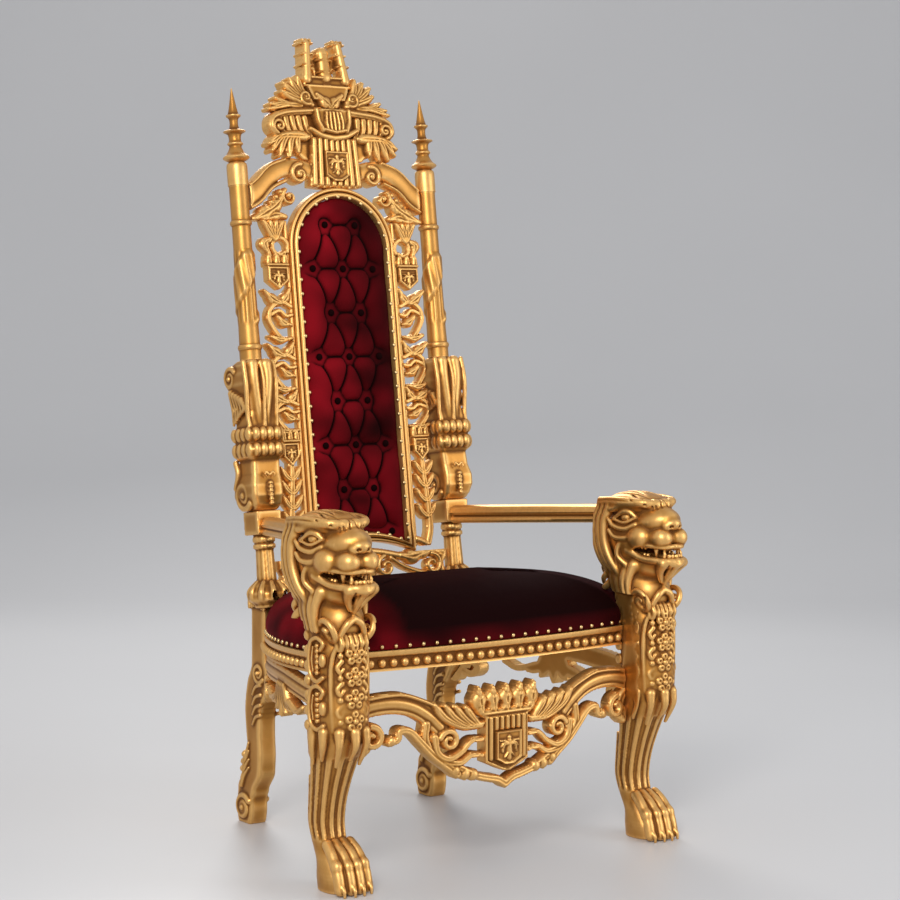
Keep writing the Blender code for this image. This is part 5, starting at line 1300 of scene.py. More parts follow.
        def place(u: Array, v: Array, depth: Array) -> Array:
            return np.stack([CHAIR.side_rail_x(u) - 0.010 - CHAIR.apron_thickness + depth, u, v], axis=1)

        self.both("apron_carving", work.board("apron", CHAIR.apron_thickness, place), "apron")

    def rails(self) -> None:
        """Moulded rails with pearls under the upholstery."""
        reach = CHAIR.leg_inner_x - CHAIR.joint_gap
        across = np.linspace(-reach, reach, 61)
        path = np.stack([across, CHAIR.front_rail_y(across)], axis=1)
        self.rail("seat_rail_front", path, np.array([0.0, 1.0]), 27)
        front = CHAIR.leg_rear_y + CHAIR.joint_gap
        rear = CHAIR.back_foot_y - 0.034 - CHAIR.joint_gap
        back = np.linspace(front, rear, 61)
        for side in Side:
            path = np.stack([side.value * CHAIR.side_rail_x(back), back], axis=1)
            self.rail(f"seat_rail_{side.word}", path, np.array([-side.value, 0.0]), 19)

    def rail(self, node: str, path: Array, inward: Array, pearls: int) -> None:
        """One rail along a path, with its row of pearls."""
        tops = CHAIR.rail_top(path[:, 1])
        section = [(0.032, -0.044), (0.032, 0.0), (0.0, 0.0), (0.0, -0.010), (0.003, -0.013), (0.007, -0.014),
                   (0.009, -0.020), (0.008, -0.037), (0.003, -0.040), (0.002, -0.044)]
        rings = []
        for spot, top in zip(path, tops):
            rings.append(np.array([[*(spot + inward * depth), top + rise] for depth, rise in section]))
        self.shop.carved(f"{node}_moulding", lofted(node, rings), [node])
        spots = evenly(np.column_stack([path, tops]), float(np.linalg.norm(np.diff(path, axis=0), axis=1).sum()) / pearls)
        step = 0.5 * (spots[1] - spots[0])
        spots = spots + step
        spots[:, :2] += inward * 0.0070
        spots[:, 2] -= 0.0270
        self.shop.carved(f"{node}_pearls", beads("pearls", spots, (0.0092, 0.0092, 0.0096)))

    def back_rail(self) -> None:
        """Plain rail between the rear legs, its edges eased."""
        low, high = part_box("seat_rail_back")
        bpy.ops.object.select_all(action="DESELECT")
        bpy.ops.mesh.primitive_cube_add(size=1.0)
        block = bpy.context.object
        block.scale = [b - a for a, b in zip(low, high)]
        block.location = [0.5 * (a + b) for a, b in zip(low, high)]
        bpy.ops.object.transform_apply(location=True, rotation=True, scale=True)
        bpy.ops.object.modifier_add(type="BEVEL")
        block.modifiers[0].width = 0.003
        block.modifiers[0].segments = 3
        bpy.ops.object.modifier_apply(modifier=block.modifiers[0].name)
        mesh = block.data
        bpy.data.objects.remove(block)
        self.shop.carved("seat_rail_back_bar", closed(mesh, 40.0), ["seat_rail_back"])

    def arms(self) -> None:
        """Moulded arms with a leaf over the front end."""
        rings = [self.arm_section(float(share)) for share in np.linspace(0.0, 1.0, 60)]
        self.both("arm_moulding", lofted("arm", rings), "arm")

    @staticmethod
    def arm_section(share: float) -> Array:
        """One slice of the right arm, from the post's block to the lion's head."""
        x = CHAIR.post_x + (CHAIR.front_leg_x - CHAIR.post_x) * share
        top = 0.745 + (0.772 - 0.745) * share
        swell = 1.0 + 0.25 * max(0.0, share - 0.5) * 2.0
        half = 0.025
        side = [(0.010, 0.000), (0.003, 0.003), (0.001, 0.009), (0.004, 0.014), (0.0075, 0.0165), (0.0075, 0.0185),
                (0.003, 0.021), (0.000, 0.026), (0.003, 0.032)]
        points = [(-half + inset, rise) for inset, rise in side]
        for turn in np.linspace(math.pi, 0.0, 15):
            points.append(((half - 0.004) * math.cos(turn), 0.033 + 0.011 * math.sin(turn)))
        points += [(half - inset, rise) for inset, rise in reversed(side)]
        ring = []
        for across, rise in points:
            leaf = max(0.0, share - 0.62) / 0.38
            groove = 0.0022 * leaf * abs(math.sin(5.0 * math.pi * (across / half + 1.0))) ** 4 * (rise > 0.030)
            z = top - 0.044 + rise - groove
            up = (z - CHAIR.back_foot_z) / math.cos(CHAIR.back_rake)
            rear = CHAIR.back_foot_y + up * math.sin(CHAIR.back_rake)
            rear -= (CHAIR.arm_block_half + CHAIR.joint_gap) / math.cos(CHAIR.back_rake)
            ring.append((x + across * swell, rear + (CHAIR.head_back_y + CHAIR.joint_gap - rear) * share, z))
        return np.array(ring)[::-1]

    def seat(self) -> None:
        """Domed seat in velvet with brass nails along its edge."""
        rings = []
        under = self.seat_outline(CHAIR.rail_thickness + 0.006)
        rings.append(np.column_stack([under, np.full(len(under), CHAIR.rail_top_rear - 0.008)]))
        gap = 0.0012
        inset = CHAIR.rail_thickness - 0.003
        for depth in (inset, 0.012, 0.002):
            flat = self.seat_outline(depth)
            rings.append(np.column_stack([flat, CHAIR.rail_top(flat[:, 1]) + gap]))
        profile = through([(0.0, 0.002), (-0.0015, 0.012), (-0.002, 0.028), (0.004, 0.048), (0.018, 0.070), (0.042, 0.089),
                           (0.075, 0.107), (0.120, 0.122), (0.175, 0.131), (0.235, 0.135)], 5)
        for depth, lift in profile:
            flat = self.seat_outline(float(depth))
            crease = self.creases(flat, float(depth))
            rings.append(np.column_stack([flat, CHAIR.rail_top(flat[:, 1]) + gap + lift * (1.0 + crease)]))
        mesh = lofted("seat", rings, 180.0)
        # Painted shade in the seat's hollows and creases.
        mark_glaze_and_shade(mesh, 0.006)
        # Painted light on the seat's left side and lower edge.
        brush(mesh, self.painted_light_share)
        made = self.shop.piece("seat_cushion_velvet", mesh, self.shop.velvet, "velvet", ["seat_cushion"])
        self.gimp()

    @staticmethod
    def painted_light_share(spots: Array) -> Array:
        """Painted light on the seat: lit crimson on the left side and along the lower edge only, near black elsewhere.
        """
        lift = spots[:, 2] - CHAIR.rail_top(spots[:, 1])
        low = np.clip(1.0 - lift / 0.045, 0.0, 1.0)
        left = np.clip((-spots[:, 0] - 0.24) / 0.08, 0.0, 1.0)
        return np.clip(0.55 * low + 0.95 * left, 0.0, 1.0)

    @staticmethod
    def creases(flat: Array, depth: float) -> Array:
        """Soft folds in the velvet, strongest towards the edge."""
        around = np.arctan2(flat[:, 1] + 0.03, flat[:, 0])
        fade = math.exp(-max(depth, 0.0) / 0.09)
        return 0.006 * fade * (np.sin(7.0 * around + 0.8) + 0.7 * np.sin(17.0 * around + 2.0))

    @staticmethod
    def seat_outline(inset: float) -> Array:
        """Seat outline between the legs, over the rails."""
        front_inset = 0.006 + inset
        reach = CHAIR.leg_inner_x - 0.006 - inset
        across = np.linspace(0.0, reach, 24)
        rear = CHAIR.back_foot_y - 0.046 - inset
        back = np.linspace(CHAIR.leg_rear_y + 0.016 + inset, rear, 30)
        behind = np.linspace(1.0, 0.0, 16)[1:-1]
        corner = CHAIR.side_rail_x(back[-1]) - 0.006 - inset - 0.012
        right = np.vstack([
            np.stack([across, CHAIR.front_rail_y(across) + front_inset], axis=1),
            [(reach, CHAIR.leg_rear_y + 0.012 + 0.6 * inset)],
            np.stack([CHAIR.side_rail_x(back[:-1]) - 0.006 - inset, back[:-1]], axis=1),
            np.stack([corner * behind, np.full(len(behind), rear)], axis=1),
        ])
        left = right[1:][::-1] * np.array([-1.0, 1.0])
        return np.vstack([right, left])

    def gimp(self) -> None:
        """Brass heads round the seat's lower edge."""
        outline = self.seat_outline(-0.0015)
        run = np.column_stack([outline, CHAIR.rail_top(outline[:, 1]) + 0.0085])
        kept = run[run[:, 1] < CHAIR.back_foot_y - 0.060]
        kept = kept[np.argsort(np.arctan2(kept[:, 0], -kept[:, 1]))]
        spots = evenly(kept, 0.034)
        mesh = beads("nails", spots, (0.0048, 0.0048, 0.0048))
        self.shop.piece("seat_nails", mesh, self.shop.brass, "nails")


REAR_LEG = (
    (0.000, 0.041, 0.095), (0.012, 0.036, 0.100), (0.036, 0.032, 0.103), (0.060, 0.032, 0.101),
    (0.075, 0.025, 0.098), (0.092, 0.018, 0.096), (0.120, -0.004, 0.078), (0.145, -0.008, 0.072),
    (0.175, -0.010, 0.052), (0.230, -0.007, 0.058), (0.285, -0.013, 0.062), (0.345, -0.052, 0.050),
    (0.380, -0.044, 0.032), (0.412, -0.034, 0.029), (0.530, -0.034, 0.028),
)
FRONT_LEG = (
    (0.000, 0.000, 0.043, 0.046), (0.030, 0.002, 0.045, 0.046), (0.060, 0.014, 0.041, 0.036),
    (0.085, 0.034, 0.036, 0.034), (0.110, 0.046, 0.036, 0.036), (0.140, 0.053, 0.037, 0.038),
    (0.180, 0.049, 0.038, 0.040), (0.220, 0.040, 0.041, 0.044), (0.260, 0.029, 0.046, 0.050),
    (0.300, 0.017, 0.052, 0.057), (0.340, 0.004, 0.055, 0.062), (0.380, -0.002, 0.056, 0.062),
    (0.430, 0.000, 0.055, 0.060), (0.480, 0.002, 0.054, 0.058), (0.520, 0.010, 0.054, 0.058),
    (0.560, 0.022, 0.055, 0.056), (0.600, 0.040, 0.058, 0.062), (0.640, 0.052, 0.060, 0.066),
)


class Lion:
    """The right front leg: clawed paw, fluted shank, flowered knee, and a roaring head under the arm."""

    def __init__(self, step: float) -> None:
        """Lay out the block the leg is carved from."""
        self.x = CHAIR.front_leg_x
        self.y = CHAIR.front_feet_y
        self.wood = Volume((self.x - 0.084, self.y - 0.136, -0.006), (self.x + 0.084, self.y + 0.122, 0.820), step)

    def ball(self, centre: Point, radii: Point, turn: float = 0.0, soft: float = 0.006, away: bool = False) -> None:
        """An ellipsoid at (side, forward-back, height) from the foot's middle, on both sides when off the middle."""
        for side in (-1, 1) if centre[0] else (1,):
            spot = (self.x + side * centre[0], self.y + centre[1], centre[2])
            self.wood.ball(spot, radii, turn, soft, away)

    def rope(self, points: Sequence[Point], start: float, end: float, soft: float = 0.003, away: bool = False) -> None:
        """A tapered bar through such points, on both sides."""
        middle = all(abs(point[0]) < 1e-6 for point in points)
        for side in (1,) if middle else (-1, 1):
            path = [(self.x + side * x, self.y + y, z) for x, y, z in points]
            self.wood.rope(path, start, end, soft, away)

    def make(self) -> bpy.types.Mesh:
        """Carve the whole leg."""
        self.shank()
        self.paw()
        self.knee()
        self.neck()
        self.skull()
        self.jaws()
        self.face()
        self.mane()
        self.saw()
        return self.wood.mesh("front_leg", 70.0)

    def shank(self) -> None:
        """Swelling post with round-ended flutes."""
        x, y, z = self.wood.axes
        levels = z[0, 0]
        keys = through([(row[0], *row[1:]) for row in FRONT_LEG], 4)
        shift, half_x, half_y = (np.interp(levels, keys[:, 0], keys[:, k]) for k in (1, 2, 3))
        across = (x - self.x) / half_x[None, None, :]
        along = (y - self.y - shift[None, None, :]) / half_y[None, None, :]
        share = (across**4 + along**4) ** 0.25 * 0.45 + np.sqrt(across**2 + along**2) * 0.55
        size = np.minimum(half_x, half_y)[None, None, :]
        ends = np.clip(np.minimum(levels - 0.104, 0.287 - levels) / 0.012, 0.0, 1.0) ** 0.5
        flute = np.clip(np.cos(12.0 * np.arctan2(along, across)) * 1.8 + 0.6, 0.0, 1.0) ** 0.7
        field = (share - 1.0) * size + 0.0034 * flute * ends[None, None, :]
        self.wood.field = np.maximum(field, levels[None, None, :] - 0.655).astype(np.float32)

    def paw(self) -> None:
        """Four long toes with small claws, and a tuft behind."""
        for k in range(2):
            side, reach = 0.0112 + 0.0222 * k, 0.007 * (1 - k)
            self.rope([(0.85 * side, 0.004, 0.098), (0.95 * side, -0.020 - reach, 0.080),
                       (side, -0.044 - reach, 0.050), (side, -0.056 - reach, 0.014)], 0.0115, 0.0128, 0.003)
            self.ball((side, -0.040 - reach, 0.060), (0.0125, 0.0150, 0.0140), 0.0, 0.004)
            self.rope([(side, -0.062 - reach, 0.022), (side, -0.071 - reach, 0.014), (side, -0.073 - reach, 0.002)],
                      0.0058, 0.0030, 0.002)
        for side in (0.0, 0.0222):
            self.rope([(side, -0.010, 0.096), (side, -0.040, 0.076), (side, -0.062, 0.040), (side, -0.072, 0.0)],
                      0.0016, 0.0022, 0.003, away=True)
        self.rope([(0.0, 0.050, 0.096), (0.0, 0.052, 0.060), (0.0, 0.046, 0.010)], 0.012, 0.016, 0.006)

    def knee(self) -> None:
        """Leaf cap over the flutes, flowers down the front, beaded panels at the sides."""
        for turn in range(-5, 6):
            angle = math.radians(34.0 * turn - 90.0)
            out_x, out_y = 0.057 * math.cos(angle), 0.061 * math.sin(angle)
            if out_x > -0.001:
                tip = 0.284 - 0.012 * (turn % 2)
                self.rope([(max(out_x, 0.0), out_y, 0.345), (max(1.05 * out_x, 0.0), 1.04 * out_y, 0.316),
                           (max(0.90 * out_x, 0.0), 0.92 * out_y + 0.014, tip)], 0.0120, 0.0040, 0.003)
        for k in range(4):
            self.flower(0.370 + 0.0467 * k)
        self.rope([(0.029, -0.053, 0.545), (0.043, -0.041, 0.500), (0.045, -0.040, 0.430), (0.040, -0.042, 0.350)],
                  0.0055, 0.0050, 0.003)
        for low in (0.350, 0.452):
            self.panel(low, low + 0.092)
        for k in range(7):
            z = 0.352 + 0.032 * k
            self.ball((0.050, 0.043, z), (0.0085, 0.0110, 0.0120), 0.0, 0.003)

    def panel(self, low: float, high: float) -> None:
        """A raised C scroll round a row of beads on the leg's side."""
        middle = 0.5 * (low + high)
        self.rope([(0.056, -0.026, low + 0.010), (0.0585, -0.006, low), (0.0595, 0.018, low + 0.012),
                   (0.0600, 0.024, middle), (0.0595, 0.018, high - 0.012), (0.0585, -0.006, high),
                   (0.056, -0.026, high - 0.010), (0.0570, -0.018, high - 0.024)], 0.0052, 0.0046, 0.002)
        for k in range(6):
            self.ball((0.0580, -0.006, low + 0.018 + 0.0115 * k), (0.0052, 0.0058, 0.0052), 0.0, 0.001)
        self.ball((0.0560, -0.024, middle), (0.0080, 0.0100, 0.0150), 0.0, 0.003)
        self.rope([(0.0595, 0.008, low + 0.020), (0.0610, 0.011, middle), (0.0595, 0.008, high - 0.020)],
                  0.0024, 0.0024, 0.001)

    def flower(self, z: float) -> None:
        """One rosette with five cupped petals round a bead, and the curl beside it."""
        for k in range(5):
            turn = k * math.tau / 5
            side, lift = 0.0150 * math.sin(turn), 0.0145 * math.cos(turn)
            if side > -1e-6:
                spot = (max(side, 0.0), -0.0610, z + lift)
                self.ball(spot, (0.0088, 0.0075, 0.0088), 0.0, 0.0015)
                self.ball((max(1.05 * side, 0.0), -0.0700, z + 1.05 * lift), (0.0052, 0.0060, 0.0052), 0.0, 0.001, away=True)
        self.ball((0.0, -0.0655, z), (0.0068, 0.0065, 0.0068), 0.0, 0.001)
        self.rope([(0.026, -0.052, z + 0.034), (0.036, -0.050, z + 0.022), (0.031, -0.053, z + 0.010),
                   (0.024, -0.055, z + 0.018)], 0.0058, 0.0040, 0.002)
        self.ball((0.0300, -0.0530, z - 0.001), (0.0068, 0.0068, 0.0068), 0.0, 0.001)

    def neck(self) -> None:
        """Throat, chest scrolls under the jaw, and leafy locks down the nape."""
        self.ball((0.0, 0.034, 0.610), (0.058, 0.070, 0.090), 0.0, 0.010)
        self.ball((0.0, 0.000, 0.575), (0.052, 0.056, 0.050), 0.0, 0.010)
        turn = np.linspace(-0.3 * math.pi, 2.2 * math.pi, 18)
        reach = np.linspace(0.030, 0.006, 18)
        coil = [(0.046 + 0.010 * math.cos(t), -0.034 - r * math.sin(t), 0.556 + r * math.cos(t))
                for t, r in zip(turn, reach)]
        self.rope(coil, 0.0072, 0.0055, 0.003)
        self.rope([(0.000, -0.056, 0.585), (0.018, -0.060, 0.574), (0.030, -0.052, 0.548), (0.020, -0.060, 0.532)],
                  0.0085, 0.0055, 0.003)
        for side in (0.006, 0.018, 0.030):
            self.rope([(side, -0.052, 0.548), (side, -0.060, 0.534), (side, -0.056, 0.522)], 0.0060, 0.0052, 0.002)
        for k in range(4):
            side = 0.052 - 0.004 * k
            self.rope([(side, -0.010 + 0.022 * k, 0.640), (side + 0.009, -0.002 + 0.022 * k, 0.602),
                       (side + 0.006, -0.004 + 0.020 * k, 0.560)], 0.0115, 0.0070, 0.004)
        for k in range(6):
            z = 0.560 + 0.027 * k
            self.rope([(0.042, 0.080, z + 0.034), (0.049, 0.099, z + 0.016), (0.040, 0.112, z)], 0.0105, 0.0040, 0.003)
            self.rope([(0.014, 0.094, z + 0.030), (0.015, 0.108, z + 0.012), (0.012, 0.114, z - 0.002)],
                      0.0120, 0.0050, 0.003)

    def skull(self) -> None:
        """Head, muzzle and cheeks."""
        self.ball((0.0, 0.036, 0.708), (0.067, 0.078, 0.080), 0.0, 0.010)
        self.ball((0.030, 0.012, 0.688), (0.036, 0.052, 0.046), 0.0, 0.010)
        self.ball((0.0, -0.030, 0.738), (0.050, 0.064, 0.036), -12.0, 0.012)
        self.ball((0.018, -0.058, 0.706), (0.030, 0.040, 0.026), 0.0, 0.006)
        self.ball((0.040, -0.022, 0.706), (0.0300, 0.0360, 0.0300), 0.0, 0.005)
        self.ball((0.023, -0.074, 0.707), (0.0245, 0.0270, 0.0235), 0.0, 0.002)
        self.ball((0.0, -0.084, 0.739), (0.023, 0.021, 0.0150), -10.0, 0.004)
        self.ball((0.016, -0.082, 0.734), (0.011, 0.014, 0.0110), 0.0, 0.003)
        self.rope([(0.0, -0.076, 0.749), (0.0, -0.040, 0.762), (0.0, -0.004, 0.776)], 0.017, 0.016, 0.008)
        self.ball((0.012, -0.100, 0.734), (0.0055, 0.0080, 0.0042), 0.0, 0.001, away=True)
        self.rope([(0.0, -0.110, 0.726), (0.0, -0.104, 0.704), (0.0, -0.096, 0.688)], 0.0022, 0.0022, 0.003, away=True)

    def jaws(self) -> None:
        """Open mouth with lips, fangs, tongue and a tufted chin."""
        self.ball((0.0, -0.056, 0.652), (0.040, 0.058, 0.016), 4.0, 0.006)
        self.ball((0.0, -0.014, 0.640), (0.050, 0.054, 0.034), 0.0, 0.010)
        self.ball((0.0, -0.066, 0.6750), (0.080, 0.074, 0.0145), 3.0, 0.003, away=True)
        self.rope([(0.058, 0.004, 0.676), (0.050, -0.026, 0.689), (0.044, -0.060, 0.689), (0.026, -0.090, 0.687),
                   (0.0, -0.097, 0.689)], 0.0052, 0.0052, 0.003)
        self.rope([(0.058, 0.004, 0.674), (0.047, -0.034, 0.659), (0.038, -0.074, 0.656), (0.020, -0.098, 0.655),
                   (0.0, -0.103, 0.655)], 0.0070, 0.0080, 0.004)
        self.ball((0.0, -0.045, 0.665), (0.019, 0.048, 0.0070), 4.0, 0.002)
        self.rope([(0.031, -0.064, 0.696), (0.032, -0.068, 0.676), (0.030, -0.066, 0.660)], 0.0070, 0.0022, 0.001)
        self.rope([(0.023, -0.086, 0.658), (0.024, -0.088, 0.671), (0.023, -0.084, 0.682)], 0.0058, 0.0020, 0.001)
        for side in (0.0, 0.0090, 0.0175):
            self.ball((side, -0.092 + 0.30 * side, 0.6845), (0.0046, 0.0046, 0.0070), 0.0, 0.001)
            self.ball((side, -0.101 + 0.30 * side, 0.6665), (0.0044, 0.0044, 0.0060), 0.0, 0.001)
        for back in (0.0, 0.012, 0.024):
            self.ball((0.040, -0.040 + back, 0.6850), (0.0050, 0.0050, 0.0065), 0.0, 0.001)
            self.ball((0.036, -0.044 + back, 0.6660), (0.0050, 0.0050, 0.0060), 0.0, 0.001)
        self.rope([(0.030, -0.090, 0.650), (0.022, -0.070, 0.628), (0.008, -0.058, 0.606)], 0.0110, 0.0060, 0.005)
        self.rope([(0.0, -0.096, 0.650), (0.0, -0.078, 0.626), (0.0, -0.056, 0.598)], 0.0140, 0.0050, 0.004)
        for side in (0.010, 0.022):
            self.rope([(side, -0.108 + 0.3 * side, 0.646), (0.8 * side, -0.086 + 0.3 * side, 0.622), (0.5 * side, -0.066, 0.602)],
                      0.0014, 0.0014, 0.002, away=True)

    def face(self) -> None:
        """Eyes under heavy brows, and folds in the cheeks."""
        self.ball((0.062, 0.020, 0.750), (0.014, 0.026, 0.0125), 12.0, 0.004, away=True)
        self.ball((0.0500, 0.016, 0.750), (0.0130, 0.0150, 0.0110), 0.0, 0.001)
        self.rope([(0.050, -0.014, 0.753), (0.0605, 0.010, 0.7640), (0.065, 0.048, 0.746)], 0.0042, 0.0036, 0.0015)
        self.rope([(0.050, -0.014, 0.751), (0.0620, 0.012, 0.7385), (0.065, 0.046, 0.744)], 0.0038, 0.0036, 0.0015)
        self.rope([(0.018, -0.026, 0.770), (0.040, -0.014, 0.778), (0.057, 0.016, 0.780), (0.066, 0.052, 0.768)],
                  0.0090, 0.0075, 0.005)
        self.rope([(0.052, -0.016, 0.735), (0.063, 0.010, 0.724), (0.069, 0.042, 0.729), (0.070, 0.058, 0.742)],
                  0.0060, 0.0050, 0.004)
        self.rope([(0.054, -0.020, 0.716), (0.064, 0.006, 0.703), (0.070, 0.038, 0.704), (0.071, 0.056, 0.718)],
                  0.0065, 0.0050, 0.004)
        self.rope([(0.054, 0.004, 0.700), (0.066, 0.026, 0.684), (0.066, 0.030, 0.660), (0.056, 0.012, 0.640)],
                  0.0065, 0.0060, 0.004)
        self.rope([(0.040, -0.052, 0.742), (0.044, -0.030, 0.740), (0.050, -0.016, 0.732)], 0.0045, 0.0040, 0.004)

    def mane(self) -> None:
        """Ruff behind the cheeks, and long locks over the crown."""
        for k in range(3):
            back, out = 0.020 * k, 0.070 - 0.003 * k
            self.rope([(out - 0.006, 0.062 + back, 0.770), (out, 0.074 + back, 0.735), (out, 0.072 + back, 0.690),
                       (out - 0.005, 0.056 + back, 0.648), (out - 0.020, 0.034 + back, 0.612)], 0.0110, 0.0095, 0.003)
        self.ball((0.0, 0.036, 0.778), (0.064, 0.084, 0.030), 0.0, 0.012)
        self.rope([(0.016, -0.044, 0.782), (0.044, -0.034, 0.786), (0.060, 0.006, 0.788), (0.064, 0.050, 0.788),
                   (0.060, 0.100, 0.784)], 0.0095, 0.0090, 0.008)
        self.rope([(0.0, -0.046, 0.780), (0.016, -0.044, 0.782)], 0.0095, 0.0095, 0.008)
        for k in range(7):
            side = 0.006 + 0.0105 * k
            lift = 0.806 - 0.0028 * k
            sway = 0.007 if k % 2 else -0.004
            self.rope([(side + 0.004, -0.062 + 0.004 * k, lift - 0.030), (side + sway, -0.030, lift - 0.004),
                       (side - sway, 0.040, lift + 0.001), (side, 0.114, lift - 0.006)], 0.0017, 0.0020, 0.003, away=True)

    def saw(self) -> None:
        """Flat faces where rails, aprons and arm meet the leg."""
        x, y, z = self.wood.axes
        low = (z > CHAIR.joint_low) & (z < CHAIR.joint_high)
        gap = 0.0004
        cuts = np.where(low, np.maximum(CHAIR.leg_inner_x + gap - x, y - CHAIR.leg_rear_y + gap), -1.0)
        cuts = np.maximum(cuts, np.where(z > 0.55, y - CHAIR.head_back_y + gap, -1.0))
        self.wood.field = np.maximum(np.maximum(self.wood.field, cuts), -z).astype(np.float32)


class RearWood:
    """Consoles and rear legs, carved in the round."""

    @staticmethod
    def console(step: float) -> bpy.types.Mesh:
        """Scrolled bracket of the right side, in the back's own frame and then leant."""
        levels = np.array((
            (0.000, 0.238, 0.300, -0.036, 0.030), (0.014, 0.232, 0.312, -0.050, 0.044),
            (0.036, 0.230, 0.318, -0.056, 0.052), (0.060, 0.231, 0.318, -0.050, 0.052),
            (0.085, 0.231, 0.312, -0.036, 0.046), (0.118, 0.229, 0.310, -0.032, 0.044),
            (0.126, 0.224, 0.318, -0.034, 0.050), (0.143, 0.220, 0.322, -0.036, 0.058),
            (0.160, 0.224, 0.316, -0.034, 0.048), (0.180, 0.222, 0.320, -0.036, 0.057),
            (0.198, 0.228, 0.312, -0.034, 0.046), (0.235, 0.232, 0.306, -0.034, 0.042),
            (0.270, 0.231, 0.310, -0.046, 0.046), (0.300, 0.230, 0.316, -0.062, 0.048),
            (0.325, 0.232, 0.314, -0.062, 0.046), (0.345, 0.236, 0.308, -0.048, 0.038),
            (0.357, 0.244, 0.298, -0.030, 0.028),
        ))
        wood = Volume((0.212, -0.070, 0.0), (0.330, 0.072, 0.370), step)
        x, y, z = wood.axes
        up = z[0, 0]
        inner, outer, back, front = (np.interp(up - CHAIR.console_bottom, levels[:, 0], levels[:, k]) for k in (1, 2, 3, 4))
        middle, half = 0.5 * (inner + outer), 0.5 * (outer - inner) - 0.003
        centre, depth = 0.5 * (-front - back), 0.5 * (front - back) - 0.003
        off_x = np.abs(x - middle[None, None, :]) - half[None, None, :] + 0.010
        off_y = np.abs(y - centre[None, None, :]) - depth[None, None, :] + 0.010
        box = np.hypot(np.maximum(off_x, 0.0), np.maximum(off_y, 0.0)) + np.minimum(np.maximum(off_x, off_y), 0.0) - 0.010
        wood.field = box.astype(np.float32)
        for row in (0.149, 0.186):
            for k in range(4):
                for y_at in (-0.049, 0.028):
                    wood.ball((0.2425 + 0.0190 * k, y_at, row), (0.0108, 0.0125, 0.0165), 0.0, 0.002)
                for x_at in (0.228, 0.314):
                    wood.ball((x_at, -0.040 + 0.0220 * k, row), (0.0080, 0.0118, 0.0165), 0.0, 0.002)
        for x_at in (0.236, 0.309):
            out = 1.0 if x_at > 0.27 else -1.0
            RearWood.scroll(wood, x_at, 0.036, 0.322, 0.026, 1.0)
            RearWood.scroll(wood, x_at, 0.008, 0.044, 0.034, -1.0)
            for k in range(5):
                root = (x_at + 0.004 * out, 0.030 - 0.012 * k, 0.288 - 0.005 * k)
                tip = (x_at + 0.001 * out, 0.032 - 0.010 * k, 0.212 + 0.006 * k)
                bend = (x_at + 0.006 * out, 0.020 - 0.013 * k, 0.248)
                wood.rope([root, bend, tip], 0.0078, 0.0035, 0.003)
            wood.rope([(x_at + 0.003 * out, -0.036, 0.356), (x_at + 0.004 * out, -0.044, 0.300),
                       (x_at + 0.002 * out, -0.038, 0.232), (x_at, -0.040, 0.206)], 0.0060, 0.0050, 0.004)
            wood.rope([(x_at + 0.002 * out, 0.034, 0.122), (x_at + 0.003 * out, 0.026, 0.096),
                       (x_at + 0.004 * out, 0.040, 0.062)], 0.0070, 0.0055, 0.004)
        for x_at in (0.253, 0.289):
            wood.rope([(x_at, -0.036, 0.350), (x_at, -0.040, 0.305), (0.3 * x_at + 0.1897, -0.034, 0.205)],
                      0.0145, 0.0110, 0.005)
        wood.rope([(0.271, -0.044, 0.356), (0.271, -0.054, 0.310), (0.271, -0.050, 0.250), (0.271, -0.046, 0.206)],
                  0.0042, 0.0042, 0.004)
        wood.rope([(0.262, -0.052, 0.084), (0.258, -0.052, 0.090), (0.262, -0.051, 0.096), (0.271, -0.051, 0.089),
                   (0.280, -0.051, 0.096), (0.284, -0.052, 0.090), (0.280, -0.052, 0.084)], 0.0022, 0.0022, 0.001)
        wood.ball((0.271, -0.056, 0.045), (0.0085, 0.0080, 0.0330), 0.0, 0.002, away=True)
        for k in range(6):
            wood.ball((0.271, -0.0520, 0.022 + 0.0095 * k), (0.0065, 0.0060, 0.0052), 0.0, 0.001)
        wood.field = np.maximum(wood.field, np.maximum(CHAIR.console_bottom + 0.0002 - z, z - CHAIR.console_top + 0.0002))
        wood.field = np.maximum(wood.field, CHAIR.console_inner_x + 0.0002 - x).astype(np.float32)
        mesh = wood.mesh("console", 70.0)
        return leant(mesh)

    @staticmethod
    def scroll(wood: Volume, x: float, y: float, z: float, size: float, way: float) -> None:
        """A volute on a side face, with its eye."""
        turn = np.linspace(0.2 * math.pi, 3.0 * math.pi, 22)
        reach = np.linspace(size, 0.30 * size, 22)
        coil = [(x, y - r * math.cos(t), z + way * r * math.sin(t)) for t, r in zip(turn, reach)]
        wood.rope(coil, 0.24 * size, 0.16 * size, 0.0025)
        wood.ball((x, y, z), (0.011, 0.26 * size, 0.26 * size), 0.0, 0.002)

